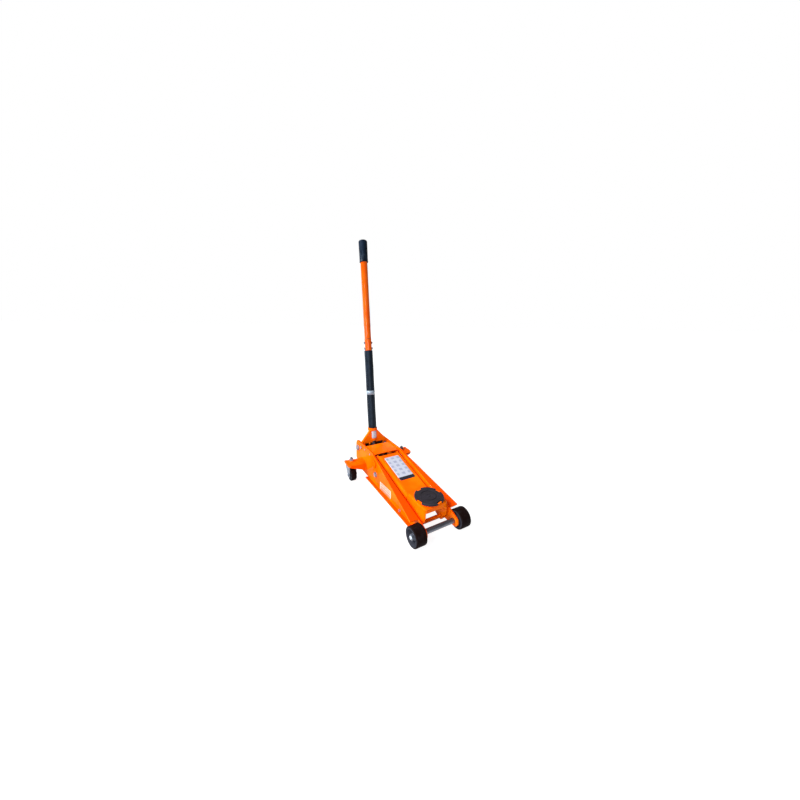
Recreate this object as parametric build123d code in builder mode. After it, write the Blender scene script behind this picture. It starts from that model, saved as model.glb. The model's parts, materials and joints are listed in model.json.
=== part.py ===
"""Hydraulic trolley jack, modelled piece by piece in millimetres.

Frame: +Z up, wheels on Z = 0, saddle end toward -Y, handle end toward +Y.
The origin is on the floor, under the middle of the whole jack's box.
Left is -X and right is +X, as seen by someone who faces the saddle end.
"""
from build123d import *
from math import atan2, cos, degrees, hypot, radians, sin, sqrt, tan
import os

os.makedirs("parts", exist_ok=True)

SIDES = ((-1, "left"), (1, "right"))
RUN = 0.05          # radial clearance of a turning fit
GAP = 0.3           # gap between faces that slide past each other

# ---------------------------------------------------------------- handle
HANDLE_TILT = 7.1           # degrees, backward from upright
PIVOT_BACK = 617.0          # handle pivot behind the front axle
PIVOT_Z = 128.0
SOCKET_AHEAD = 31.0         # handle axis ahead of its pivot
SOCKET_START = 38.0         # along the handle axis, from the pivot's height
COLLAR_LENGTH = 13.0
SLEEVE_START = 108.0
SLEEVE_END = 533.0
LOWER_TUBE_END = 594.0
HANDLE_LENGTH = 1103.0
GRIP_LENGTH = 111.0
GRIP_START = HANDLE_LENGTH - GRIP_LENGTH
LOWER_TUBE_R = 18.8
TUBE_WALL = 2.8
UPPER_TUBE_R = 18.0
SPIGOT_LENGTH = 60.0
SLEEVE_R = 23.0
GRIP_R = 22.5
GRIP_ROUND = 7.0
GRIP_CAP = 14.0              # rubber beyond the tube's end
SOCKET_WALL = 3.6
COLLAR_R = 26.0
HANDLE_BOLT_R = 4.0
HANDLE_BOLTS_DOWN = (21.0, 51.0)    # joint bolts below the lower tube's end
CHEEK_T = 5.0
GUSSET_AHEAD = 16.0          # front face of the gusset, ahead of the handle axis
GUSSET_T = 5.0
GUSSET_FOLD = 16.0
GUSSET_TOP = 96.0
GUSSET_TOP_HALF = 21.5
GUSSET_SHOULDER = 40.0
GUSSET_LOW = 30.0
BRACE_FOLD = ((2.0, 15.5), (22.0, 15.5), (22.0, -12.0))    # along, and ahead of the pivot
BRACE_T = 5.0

# ---------------------------------------------------------------- wheels
WHEEL_R = 39.5
WHEEL_WIDTH = 47.0
WHEEL_RECESS_R = 27.0
WHEEL_RECESS = 12.0
HUB_R = 15.0
AXLE_R = 10.0
AXLE_Z = WHEEL_R
AXLE_WASHER = 5.0
WHEEL_SHOULDER = 4.0

# The jack's box runs from the front of the wheels to the back of the grip.
tilt = radians(HANDLE_TILT)
grip_back = (
    PIVOT_BACK - SOCKET_AHEAD * cos(tilt) + (HANDLE_LENGTH - GRIP_ROUND) * sin(tilt)
    + (GRIP_R - GRIP_ROUND) * cos(tilt) + GRIP_ROUND
)
AXLE_Y = -(grip_back - WHEEL_R) / 2

# ---------------------------------------------------------------- widths across the jack
# Half widths from the middle, each reckoned from the one inside it.
BRACKET_HALF = 58.0
TONGUE_HALF = BRACKET_HALF - 10
SADDLE_R = BRACKET_HALF + 1.5
ARM_HALF = BRACKET_HALF + 2
ROD_IN = ARM_HALF + 3
ROD_T = 5.0
FRAME_IN = ROD_IN + ROD_T + 4       # inner face of each side plate
PLATE_T = 6.0
FRAME_OUT = FRAME_IN + PLATE_T
COVER_HALF = FRAME_IN - 4
BLOCK_HALF = FRAME_IN - 22
CHEEK_IN = FRAME_IN - 6             # inner face of each yoke cheek
KINGPIN_OUTBOARD = 74.0             # kingpin outside its side plate
KINGPIN_X = FRAME_OUT + KINGPIN_OUTBOARD
WING_OVERHANG = 34.0                # caster wing beyond its kingpin
CASTER_WING_OUT = KINGPIN_X + WING_OVERHANG

# ---------------------------------------------------------------- side frames
FRAME_BOTTOM = 16.0
FRAME_TOP = 171.5
FRAME_BACK = 646.0          # behind the front axle
FRAME_NOSE_R = 23.5
NOSE_TOP = (14.5, 18.5)     # ahead of the axle, and above it
FRAME_RISE_START = 580.0    # where the lower edge turns up
FRAME_RISE_TOP = 62.0
TOP_SLOPE = 13.1            # degrees, falling toward the saddle end
TOP_FALL_START = 438.0      # behind the front axle
WING_FRONT = 30.5
WING_WIDTH = 38.0
WING_FLARE = 5.5            # degrees, outer edge up
WING_T = 5.0
FLANGE_WIDTH = 15.0
FLANGE_T = 5.0
FLANGE_FRONT = 54.0
FLANGE_BACK = 485.0
FOLD_R = 5.0
REAR_CORNER_R = 32.0
BOSS_T = 5.0
STOP_BOLT_AT = (575.0, 147.0)       # behind the front axle, and height
STOP_BOLT_R = 5.0
TIE_BAR_AT = (166.0, 27.0)
TIE_BAR_R = 6.0
CROSS_TUBE_AT = (610.0, 66.0)
CROSS_TUBE_R = 9.0
CROSS_TUBE_WALL = 3.0
PIVOT_BOLT_R = 8.0

# ---------------------------------------------------------------- lift arm
ARM_PIVOT = (411.0, 128.0)          # behind the front axle, and height
BRACKET_PIVOT = (72.0, 80.0)
ROD_DROP = (-13.0, -52.0)           # lower pivots from the upper ones
ARM_T = 6.0
ARM_SKIRT = 90.0
ARM_EDGE_R = 13.0
ARM_TOP_AT_AXLE = 70.8              # height of the arm's top line over the axle
ARM_SLOPE = 12.9
ARM_REAR = 404.5
ARM_FRONT = 128.0
ARM_DEPTH = 52.0
ARM_PIVOT_R = 12.0
ARM_LOBE_R = 34.0
LEVER = 50.0                        # ram pin from the arm pivot
LEVER_ANGLE = 35.0                  # degrees behind straight down
RAM_PIN_R = 7.0
TONGUE_TOP = 97.0
TONGUE_T = 6.0
TONGUE_END_R = 18.0
TONGUE_BACK = 235.0
TONGUE_RISE = 155.0

# ---------------------------------------------------------------- saddle end
BRACKET_T = 6.0
BRACKET_TOP = 117.0
BRACKET_FRONT = 20.0                # behind the front axle
BRACKET_CORNER_R = 14.0
CHEEK_EDGE = ((46.0, 32.0), (26.0, 54.0), (BRACKET_FRONT, 78.0))
BRACKET_REACH = 74.0                # greatest radius behind the bracket pivot
BRACKET_SHAFT_R = 9.0
BRACKET_LIP = 21.0
LOWER_PIN_R = 8.0
LOWER_EYE_R = 14.0
SADDLE_TOP = 130.0
CUP_T = 4.0
LUG_T = 6.0
LUG_WIDTH = 24.0
SADDLE_TURN = 12.0                  # degrees that the lugs stand off square
POST_R = 14.0
NOTCH_GAP = 1.0
PAD_GROOVES = ((33.0, 28.5), (9.0, 6.0))
PAD_GROOVE_DEPTH = 1.6

# ---------------------------------------------------------------- radius rods
ROD_HALF = 8.5
ROD_EYE_R = 13.0
ROD_PIN_R = 7.0

# ---------------------------------------------------------------- power unit
UNIT_Z = 84.0
RESERVOIR_FRONT = 458.0
BLOCK_FRONT = 516.0
BLOCK_BACK = 562.0
BLOCK_TOP = 126.0
BLOCK_BOTTOM = 46.0
RAM_R = 13.0
RAM_HEAD_HALF = 16.0
RAM_HEAD_LENGTH = 28.0
PLUNGER_X = -34.0
PLUNGER_R = 8.0
PLUNGER_HEAD_R = 13.0
PLUNGER_HEAD_T = 6.0
ROLLER_R = 9.0
ROLLER_LEVER = 22.0
ROLLER_WIDTH = 24.0
ROLLER_PIN_R = 4.0
ROLLER_ARM_T = 4.0
ROLLER_ARM_IN = 14.0                # inner faces of the roller's arms from the pump axis
HANDLE_TRAVEL = 75.0                # degrees, upright to nearly level
SPRING_R = 5.4
SPRING_X = ARM_HALF - ARM_T - SPRING_R - 0.6
RESERVOIR_R = SPRING_X - SPRING_R - 1.6

# ---------------------------------------------------------------- cover
COVER_TOP = 166.8
COVER_T = 3.0
COVER_BEND_R = 6.0
COVER_FRONT = 428.0
COVER_BACK = 534.0
COVER_DROP = 26.0
COVER_SCREWS_BACK = (527.0, 466.0)
COVER_SCREW_Z = 153.0
COVER_SCREW_R = 2.5

# ---------------------------------------------------------------- rear casters
KINGPIN_BACK = 534.0
CASTER_WING_TOP = 106.0
# Section of a caster wing, as points behind the front axle and heights:
# front foot, front bend, crown, rear bend, rear foot.
WING_ROOT = ((512.0, 43.0), (512.0, 80.0), (549.0, 97.0), (586.0, 76.0), (586.0, 70.0))
WING_TIP = (
    (478.0, 97.0),
    (478.0, 105.0),
    (515.5, CASTER_WING_TOP),
    (553.0, 105.0),
    (553.0, 98.0),
)
WING_WALL = 4.0
WING_CORNER_R = 11.0
WING_PLAN_HEIGHT = CASTER_WING_TOP + 14
SEAT_R = 16.0
SEAT_DEPTH = 13.0
CASTER_R = 33.0
CASTER_WIDTH = 30.0
CASTER_TRAIL = 8.0
FORK_T = 3.5
FORK_TOP = 81.0
RACE_R = 22.0
KINGPIN_R = 6.0
CASTER_AXLE_R = 5.0


def back(distance):
    """Y of a point that lies this far behind the front axle."""
    return AXLE_Y + distance


def side_plane(x):
    """Plane across the jack at x: local x runs to the back, local y runs up."""
    return Plane.YZ.offset(x)


def keep(builder, name):
    """Label a finished piece and write its STEP file."""
    builder.part.label = name
    export_step(builder.part, f"parts/{name}.step")


def arm_top(distance):
    """Height of the arm's top line at a distance behind the front axle."""
    return ARM_TOP_AT_AXLE + distance * tan(radians(ARM_SLOPE))


def frame_top(distance):
    """Height of a side plate's top edge at a distance behind the front axle."""
    fall = max(0.0, TOP_FALL_START - distance) * tan(radians(TOP_SLOPE))
    return FRAME_TOP - fall


def handle_point(along, ahead=0.0):
    """Point on the handle's middle plane, as (Y, Z)."""
    start_y = back(PIVOT_BACK) - SOCKET_AHEAD * cos(tilt)
    start_z = PIVOT_Z + SOCKET_AHEAD * sin(tilt)
    return (
        start_y + along * sin(tilt) - ahead * cos(tilt),
        start_z + along * cos(tilt) + ahead * sin(tilt),
    )


def handle_plane(along):
    """Plane square to the handle: local x is +X, local y is backward."""
    y, z = handle_point(along)
    return Plane(origin=(0, y, z), x_dir=(1, 0, 0), z_dir=(0, sin(tilt), cos(tilt)))


arm_pivot = (back(ARM_PIVOT[0]), ARM_PIVOT[1])
bracket_pivot = (back(BRACKET_PIVOT[0]), BRACKET_PIVOT[1])
rod_anchor = (arm_pivot[0] + ROD_DROP[0], arm_pivot[1] + ROD_DROP[1])
lower_pin = (bracket_pivot[0] + ROD_DROP[0], bracket_pivot[1] + ROD_DROP[1])
lever_angle = radians(LEVER_ANGLE)
ram_pin = (arm_pivot[0] + LEVER * sin(lever_angle), arm_pivot[1] - LEVER * cos(lever_angle))
handle_pivot = (back(PIVOT_BACK), PIVOT_Z)
stop_bolt = (back(STOP_BOLT_AT[0]), STOP_BOLT_AT[1])
tie_bar = (back(TIE_BAR_AT[0]), TIE_BAR_AT[1])
cross_tube = (back(CROSS_TUBE_AT[0]), CROSS_TUBE_AT[1])
cover_screws_at = [(back(distance), COVER_SCREW_Z) for distance in COVER_SCREWS_BACK]


# ================================================================ side plates
for side, name in SIDES:
    wing_length = TOP_FALL_START - WING_FRONT
    with BuildPart() as side_plate:
        with BuildSketch(side_plane(side * FRAME_IN)):
            with BuildLine():
                nose_top = (AXLE_Y - NOSE_TOP[0], AXLE_Z + NOSE_TOP[1])
                nose_front = (AXLE_Y - FRAME_NOSE_R, AXLE_Z)
                nose_bottom = (AXLE_Y, AXLE_Z - FRAME_NOSE_R)
                Polyline(
                    nose_bottom,
                    (back(FRAME_RISE_START), FRAME_BOTTOM + 4),
                    (back(FRAME_BACK), FRAME_RISE_TOP),
                    (back(FRAME_BACK), FRAME_TOP),
                    (back(TOP_FALL_START), FRAME_TOP),
                    (back(WING_FRONT - 6), frame_top(WING_FRONT - 6)),
                    nose_top,
                )
                ThreePointArc(nose_top, nose_front, nose_bottom)
            make_face()
        extrude(amount=side * PLATE_T)
        fillet(
            side_plate.edges().filter_by(Axis.X).group_by(Axis.Y)[-1].group_by(Axis.Z)[-1],
            radius=REAR_CORNER_R,
        )
        long_edges = side_plate.edges().filter_by(lambda e: e.length > 300)
        inner_edges = long_edges.filter_by(lambda e: abs(abs(e.center().X) - FRAME_IN) < 0.01)
        fillet(inner_edges.filter_by(lambda e: e.center().Z > 80), radius=FOLD_R)
        slope = radians(TOP_SLOPE)
        flare = radians(WING_FLARE)
        wing_plane = Plane(
            origin=(side * (FRAME_OUT - 1), back(WING_FRONT), frame_top(WING_FRONT)),
            x_dir=(0, cos(slope), sin(slope)),
            z_dir=(-side * sin(flare), -sin(slope) * cos(flare), cos(slope) * cos(flare)),
        )
        run = wing_length / cos(slope)
        with BuildSketch(wing_plane):
            with BuildLine():
                Polyline(
                    (0, 0),
                    (0, -side * (WING_WIDTH + 1)),
                    (run, -side),
                    (run, 0),
                    close=True,
                )
            make_face()
        extrude(amount=-WING_T)
        with BuildSketch(Plane.XY.offset(FRAME_BOTTOM)):
            with Locations(
                (side * (FRAME_OUT + FLANGE_WIDTH / 2 - 1), back((FLANGE_FRONT + FLANGE_BACK) / 2))
            ):
                Rectangle(FLANGE_WIDTH + 2, FLANGE_BACK - FLANGE_FRONT)
        extrude(amount=FLANGE_T)
        with BuildSketch(side_plane(side * (FRAME_IN - 1))):
            with Locations((AXLE_Y, AXLE_Z)):
                Circle(AXLE_R)
            with Locations(arm_pivot):
                Circle(ARM_PIVOT_R)
            with Locations(rod_anchor):
                Circle(ROD_PIN_R)
            with Locations(handle_pivot):
                Circle(PIVOT_BOLT_R)
            with Locations(stop_bolt):
                Circle(STOP_BOLT_R)
            with Locations(tie_bar):
                Circle(TIE_BAR_R)
            with Locations(*cover_screws_at):
                Circle(COVER_SCREW_R)
        extrude(amount=side * (PLATE_T + 2), mode=Mode.SUBTRACT)
        with BuildSketch(side_plane(side * FRAME_OUT)):
            with Locations(arm_pivot):
                Circle(ARM_PIVOT_R + 5)
                Circle(ARM_PIVOT_R, mode=Mode.SUBTRACT)
        extrude(amount=side * BOSS_T)
    keep(side_plate, f"side_plate_{name}")


# ================================================================ rear caster wings
def wing_section(x, points, inset=0.0):
    """Hood-shaped section of a caster wing at x; inset gives its inner face."""
    front_low, front_top, crown, rear_top, rear_low = [
        (back(distance), height) for distance, height in points
    ]
    front_top = (front_top[0] + inset, front_top[1] - inset)
    rear_top = (rear_top[0] - inset, rear_top[1] - inset)
    with BuildSketch(side_plane(x)) as section:
        with BuildLine():
            Line((front_low[0] + inset, front_low[1] - 2 * inset), front_top)
            ThreePointArc(front_top, (crown[0], crown[1] - inset), rear_top)
            Polyline(
                rear_top,
                (rear_low[0] - inset, rear_low[1] - 2 * inset),
                (front_low[0] + inset, front_low[1] - 2 * inset),
            )
        make_face()
    return section


def wing_plan(side, inset):
    """Outline of a caster wing seen from above, with rounded outer corners."""
    root = side * (FRAME_OUT - inset)
    tip = side * (CASTER_WING_OUT - inset)
    with BuildSketch(Plane.XY) as plan:
        with BuildLine():
            Polyline(
                (root, back(WING_ROOT[0][0]) + inset),
                (tip, back(WING_TIP[0][0]) + inset),
                (tip, back(WING_TIP[-1][0]) - inset),
                (root, back(WING_ROOT[-1][0]) - inset),
                close=True,
            )
        make_face()
        fillet(plan.vertices().filter_by(lambda v: abs(v.X - tip) < 0.01), WING_CORNER_R - inset)
    return plan


for side, name in SIDES:
    root = side * FRAME_OUT
    tip = side * CASTER_WING_OUT
    pin = (side * KINGPIN_X, back(KINGPIN_BACK))
    with BuildPart() as caster_wing:
        outer_root = wing_section(root, WING_ROOT)
        outer_tip = wing_section(tip, WING_TIP)
        loft([outer_root.sketch, outer_tip.sketch], ruled=True)
        extrude(wing_plan(side, 0).sketch, amount=WING_PLAN_HEIGHT, mode=Mode.INTERSECT)
        inner_root = wing_section(root, WING_ROOT, WING_WALL)
        inner_tip = wing_section(tip, WING_TIP, WING_WALL)
        hollow = loft([inner_root.sketch, inner_tip.sketch], ruled=True, mode=Mode.PRIVATE)
        hollow_plan = extrude(
            wing_plan(side, WING_WALL).sketch, amount=WING_PLAN_HEIGHT, mode=Mode.PRIVATE
        )
        add(hollow & hollow_plan, mode=Mode.SUBTRACT)
        with BuildSketch(Plane.XY.offset(CASTER_WING_TOP)):
            with Locations(pin):
                Circle(SEAT_R)
        extrude(amount=-SEAT_DEPTH)
        with BuildSketch(Plane.XY.offset(CASTER_WING_TOP + 1)):
            with Locations(pin):
                Circle(KINGPIN_R)
        extrude(amount=-(SEAT_DEPTH + 2), mode=Mode.SUBTRACT)
    keep(caster_wing, f"caster_wing_{name}")


# ================================================================ casters
for side, name in SIDES:
    pin = (side * KINGPIN_X, back(KINGPIN_BACK))
    axle_y = back(KINGPIN_BACK - CASTER_TRAIL)
    race_bottom = FORK_TOP + GAP
    seat_bottom = CASTER_WING_TOP - SEAT_DEPTH
    with BuildPart() as kingpin:
        with BuildSketch(Plane.XY.offset(FORK_TOP - 9)):
            with Locations(pin):
                Circle(KINGPIN_R)
        extrude(amount=CASTER_WING_TOP + 17 - (FORK_TOP - 9))
        with BuildSketch(Plane.XY.offset(FORK_TOP - 12)):
            with Locations(pin):
                Circle(KINGPIN_R + 4)
        extrude(amount=12 - FORK_T - GAP)
        with BuildSketch(Plane.XY.offset(CASTER_WING_TOP)):
            with Locations(pin):
                RegularPolygon(radius=10.5, side_count=6)
        extrude(amount=10)
    keep(kingpin, f"caster_kingpin_{name}")

    with BuildPart() as race:
        with BuildSketch(Plane.XY.offset(race_bottom)):
            with Locations(pin):
                Circle(RACE_R)
                Circle(KINGPIN_R, mode=Mode.SUBTRACT)
        extrude(amount=seat_bottom - race_bottom)
        fillet(race.edges().group_by(Axis.Z)[0].sort_by(SortBy.RADIUS)[-1], 2)
    keep(race, f"caster_race_{name}")

    with BuildPart() as fork:
        with BuildSketch(Plane.XY.offset(FORK_TOP)):
            with Locations(pin):
                Circle(RACE_R + 1)
            with Locations((pin[0], pin[1] + 6)):
                Rectangle(CASTER_WIDTH + 2 * (FORK_T + 1), 52)
        extrude(amount=-FORK_T)
        for leg in (-1, 1):
            inner = pin[0] + leg * (CASTER_WIDTH / 2 + 1)
            with BuildSketch(side_plane(inner)):
                with BuildLine():
                    Polyline(
                        (pin[1] - 20, FORK_TOP),
                        (axle_y - 15, CASTER_R),
                        (axle_y + 17, CASTER_R),
                        (pin[1] + 36, FORK_TOP - 13),
                        (pin[1] + 32, FORK_TOP),
                        close=True,
                    )
                make_face()
                with Locations((axle_y + 1, CASTER_R)):
                    Circle(16)
            extrude(amount=leg * FORK_T)
        with BuildSketch(Plane.XY.offset(FORK_TOP + 1)):
            with Locations(pin):
                Circle(KINGPIN_R + RUN)
        extrude(amount=-(FORK_T + 2), mode=Mode.SUBTRACT)
        with BuildSketch(side_plane(pin[0] - CASTER_WIDTH)):
            with Locations((axle_y, CASTER_R)):
                Circle(CASTER_AXLE_R)
        extrude(amount=2 * CASTER_WIDTH, mode=Mode.SUBTRACT)
    keep(fork, f"caster_fork_{name}")

    with BuildPart() as caster_axle:
        half = CASTER_WIDTH / 2 + 1 + FORK_T
        with BuildSketch(side_plane(pin[0] - half - 2)):
            with Locations((axle_y, CASTER_R)):
                Circle(CASTER_AXLE_R)
        extrude(amount=2 * half + 4)
        for end in (-1, 1):
            with BuildSketch(side_plane(pin[0] + end * half)):
                with Locations((axle_y, CASTER_R)):
                    RegularPolygon(radius=8, side_count=6)
            extrude(amount=end * 5)
    keep(caster_axle, f"caster_axle_{name}")

    with BuildPart() as caster_wheel:
        with BuildSketch(Plane(origin=(pin[0], axle_y, CASTER_R), x_dir=(1, 0, 0), z_dir=(0, 0, 1))):
            with BuildLine():
                half = CASTER_WIDTH / 2
                Polyline(
                    (-half, CASTER_AXLE_R + RUN),
                    (-half, 11),
                    (-half + 4, 13),
                    (-half + 4, CASTER_R - 9),
                    (-half + 1, CASTER_R - 7),
                    (-half + 1, CASTER_R - 3),
                    (-half + 4, CASTER_R),
                    (half - 4, CASTER_R),
                    (half - 1, CASTER_R - 3),
                    (half - 1, CASTER_R - 7),
                    (half - 4, CASTER_R - 9),
                    (half - 4, 13),
                    (half, 11),
                    (half, CASTER_AXLE_R + RUN),
                    close=True,
                )
            make_face()
        revolve(axis=Axis((pin[0], axle_y, CASTER_R), (1, 0, 0)))
    keep(caster_wheel, f"caster_wheel_{name}")


# ================================================================ front axle and wheels
with BuildPart() as front_axle:
    hub_face = FRAME_OUT + AXLE_WASHER + WHEEL_WIDTH - WHEEL_RECESS
    with BuildSketch(side_plane(-hub_face - 1)):
        with Locations((AXLE_Y, AXLE_Z)):
            Circle(AXLE_R)
    extrude(amount=2 * hub_face + 2)
    with BuildSketch(side_plane(-hub_face - 16)):
        with Locations((AXLE_Y, AXLE_Z)):
            Circle(AXLE_R - 3)
    extrude(amount=2 * hub_face + 32)
    chamfer(front_axle.faces().sort_by(Axis.X)[0].edges(), 1.5)
    chamfer(front_axle.faces().sort_by(Axis.X)[-1].edges(), 1.5)
keep(front_axle, "front_axle")

with BuildPart() as axle_washers:
    for side, name in SIDES:
        with BuildSketch(side_plane(side * FRAME_OUT)):
            with Locations((AXLE_Y, AXLE_Z)):
                Circle(HUB_R + 2)
                Circle(AXLE_R, mode=Mode.SUBTRACT)
        extrude(amount=side * (AXLE_WASHER - GAP))
keep(axle_washers, "axle_washers")

with BuildPart() as axle_nuts:
    for side, name in SIDES:
        with BuildSketch(side_plane(side * (hub_face + 1))):
            with Locations((AXLE_Y, AXLE_Z)):
                Circle(13)
                Circle(AXLE_R - 3, mode=Mode.SUBTRACT)
        extrude(amount=side * 2)
        with BuildSketch(side_plane(side * (hub_face + 3))):
            with Locations((AXLE_Y, AXLE_Z)):
                RegularPolygon(radius=12, side_count=6)
                Circle(AXLE_R - 3, mode=Mode.SUBTRACT)
        extrude(amount=side * 9)
keep(axle_nuts, "axle_nuts")

for side, name in SIDES:
    inner = side * (FRAME_OUT + AXLE_WASHER)
    with BuildPart() as wheel:
        with BuildSketch(Plane(origin=(inner, AXLE_Y, AXLE_Z), x_dir=(side, 0, 0), z_dir=(0, side, 0))):
            with BuildLine():
                bore = AXLE_R + RUN
                width = WHEEL_WIDTH
                Polyline(
                    (0, bore),
                    (0, HUB_R + 2),
                    (5, HUB_R + 4),
                    (5, WHEEL_RECESS_R),
                    (0, WHEEL_RECESS_R + 2),
                    (0, WHEEL_R - WHEEL_SHOULDER),
                )
                RadiusArc((0, WHEEL_R - WHEEL_SHOULDER), (WHEEL_SHOULDER, WHEEL_R), WHEEL_SHOULDER)
                Line((WHEEL_SHOULDER, WHEEL_R), (width - WHEEL_SHOULDER, WHEEL_R))
                RadiusArc(
                    (width - WHEEL_SHOULDER, WHEEL_R),
                    (width, WHEEL_R - WHEEL_SHOULDER),
                    WHEEL_SHOULDER,
                )
                Polyline(
                    (width, WHEEL_R - WHEEL_SHOULDER),
                    (width, WHEEL_RECESS_R + 2),
                    (width - 6, WHEEL_RECESS_R - 3),
                    (width - WHEEL_RECESS, HUB_R),
                    (width - WHEEL_RECESS, bore),
                    (0, bore),
                )
            make_face()
        revolve(axis=Axis((0, AXLE_Y, AXLE_Z), (1, 0, 0)))
    keep(wheel, f"front_wheel_{name}")


# ================================================================ lift arm
def bars(inner, thickness):
    """Start and signed thickness of a pair of upright plates, left and right."""
    return [(side * inner, side * thickness) for side, name in SIDES]


with BuildPart() as lift_arm:
    slope = radians(ARM_SLOPE)
    arm_section = Plane(
        origin=(0, back(ARM_FRONT - 30), arm_top(ARM_FRONT - 30)),
        x_dir=(1, 0, 0),
        z_dir=(0, -cos(slope), -sin(slope)),
    )
    with BuildSketch(arm_section) as channel:
        with Locations((0, -ARM_SKIRT)):
            RectangleRounded(2 * ARM_HALF, 2 * ARM_SKIRT, ARM_EDGE_R)
        with Locations((0, -ARM_SKIRT - ARM_T)):
            RectangleRounded(
                2 * (ARM_HALF - ARM_T), 2 * ARM_SKIRT, ARM_EDGE_R - ARM_T, mode=Mode.SUBTRACT
            )
        with Locations((0, -2 * ARM_SKIRT)):
            Rectangle(3 * ARM_HALF, 2 * ARM_SKIRT, mode=Mode.SUBTRACT)
    extrude(amount=-370)
    with BuildSketch(side_plane(-ARM_HALF - 1)):
        with BuildLine():
            Polyline(
                (back(ARM_FRONT), arm_top(ARM_FRONT) - ARM_DEPTH),
                (back(380), 101),
                (ram_pin[0] - 12, ram_pin[1] - 8),
                (ram_pin[0] + 13.9, ram_pin[1]),
                (arm_pivot[0] + ARM_LOBE_R, arm_pivot[1]),
                (back(ARM_REAR), arm_top(ARM_REAR) + 1),
                (back(ARM_FRONT), arm_top(ARM_FRONT) + 1),
                close=True,
            )
        make_face()
        with Locations(arm_pivot):
            Circle(ARM_LOBE_R)
        with Locations(ram_pin):
            Circle(RAM_PIN_R + 7)
    extrude(amount=2 * ARM_HALF + 2, mode=Mode.INTERSECT)
    with BuildSketch(side_plane(-ARM_HALF + ARM_T)):
        with Locations((back(ARM_REAR) + 40, arm_pivot[1])):
            Rectangle(80, 100)
    extrude(amount=2 * (ARM_HALF - ARM_T), mode=Mode.SUBTRACT)
    with BuildSketch(side_plane(-ARM_HALF - 1)):
        with Locations(bracket_pivot):
            Circle(BRACKET_REACH + 2 * GAP)
    extrude(amount=2 * ARM_HALF + 2, mode=Mode.SUBTRACT)
    for start, thickness in bars(TONGUE_HALF - TONGUE_T, TONGUE_T):
        with BuildSketch(side_plane(start)):
            with BuildLine():
                Polyline(
                    (back(TONGUE_BACK), arm_top(TONGUE_BACK) - ARM_T / 2),
                    (back(TONGUE_RISE), arm_top(TONGUE_RISE) - ARM_T / 2),
                    (back(TONGUE_RISE - 7), TONGUE_TOP),
                    (bracket_pivot[0], bracket_pivot[1] + TONGUE_END_R),
                    (bracket_pivot[0], bracket_pivot[1] - TONGUE_END_R),
                    (back(TONGUE_BACK), arm_top(TONGUE_BACK) - ARM_DEPTH + 2),
                    close=True,
                )
            make_face()
            with Locations(bracket_pivot):
                Circle(TONGUE_END_R)
        extrude(amount=thickness)
    for centre, radius in (
        (arm_pivot, ARM_PIVOT_R + RUN),
        (bracket_pivot, BRACKET_SHAFT_R + RUN),
        (ram_pin, RAM_PIN_R),
    ):
        with BuildSketch(side_plane(-ARM_HALF - 1)):
            with Locations(centre):
                Circle(radius)
        extrude(amount=2 * ARM_HALF + 2, mode=Mode.SUBTRACT)
keep(lift_arm, "lift_arm")

with BuildPart() as arm_pivot_shaft:
    with BuildSketch(side_plane(-FRAME_OUT - BOSS_T)):
        with Locations(arm_pivot):
            Circle(ARM_PIVOT_R)
    extrude(amount=2 * (FRAME_OUT + BOSS_T))
keep(arm_pivot_shaft, "arm_pivot_shaft")

with BuildPart() as pivot_sleeves:
    for side, name in SIDES:
        with BuildSketch(side_plane(side * (ARM_HALF + GAP))):
            with Locations(arm_pivot):
                Circle(ARM_PIVOT_R + 5)
                Circle(ARM_PIVOT_R, mode=Mode.SUBTRACT)
        extrude(amount=side * (FRAME_IN - ARM_HALF - GAP))
keep(pivot_sleeves, "arm_pivot_sleeves")

with BuildPart() as ram_cross_pin:
    with BuildSketch(side_plane(-ARM_HALF)):
        with Locations(ram_pin):
            Circle(RAM_PIN_R)
    extrude(amount=2 * ARM_HALF)
keep(ram_cross_pin, "ram_cross_pin")


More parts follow.
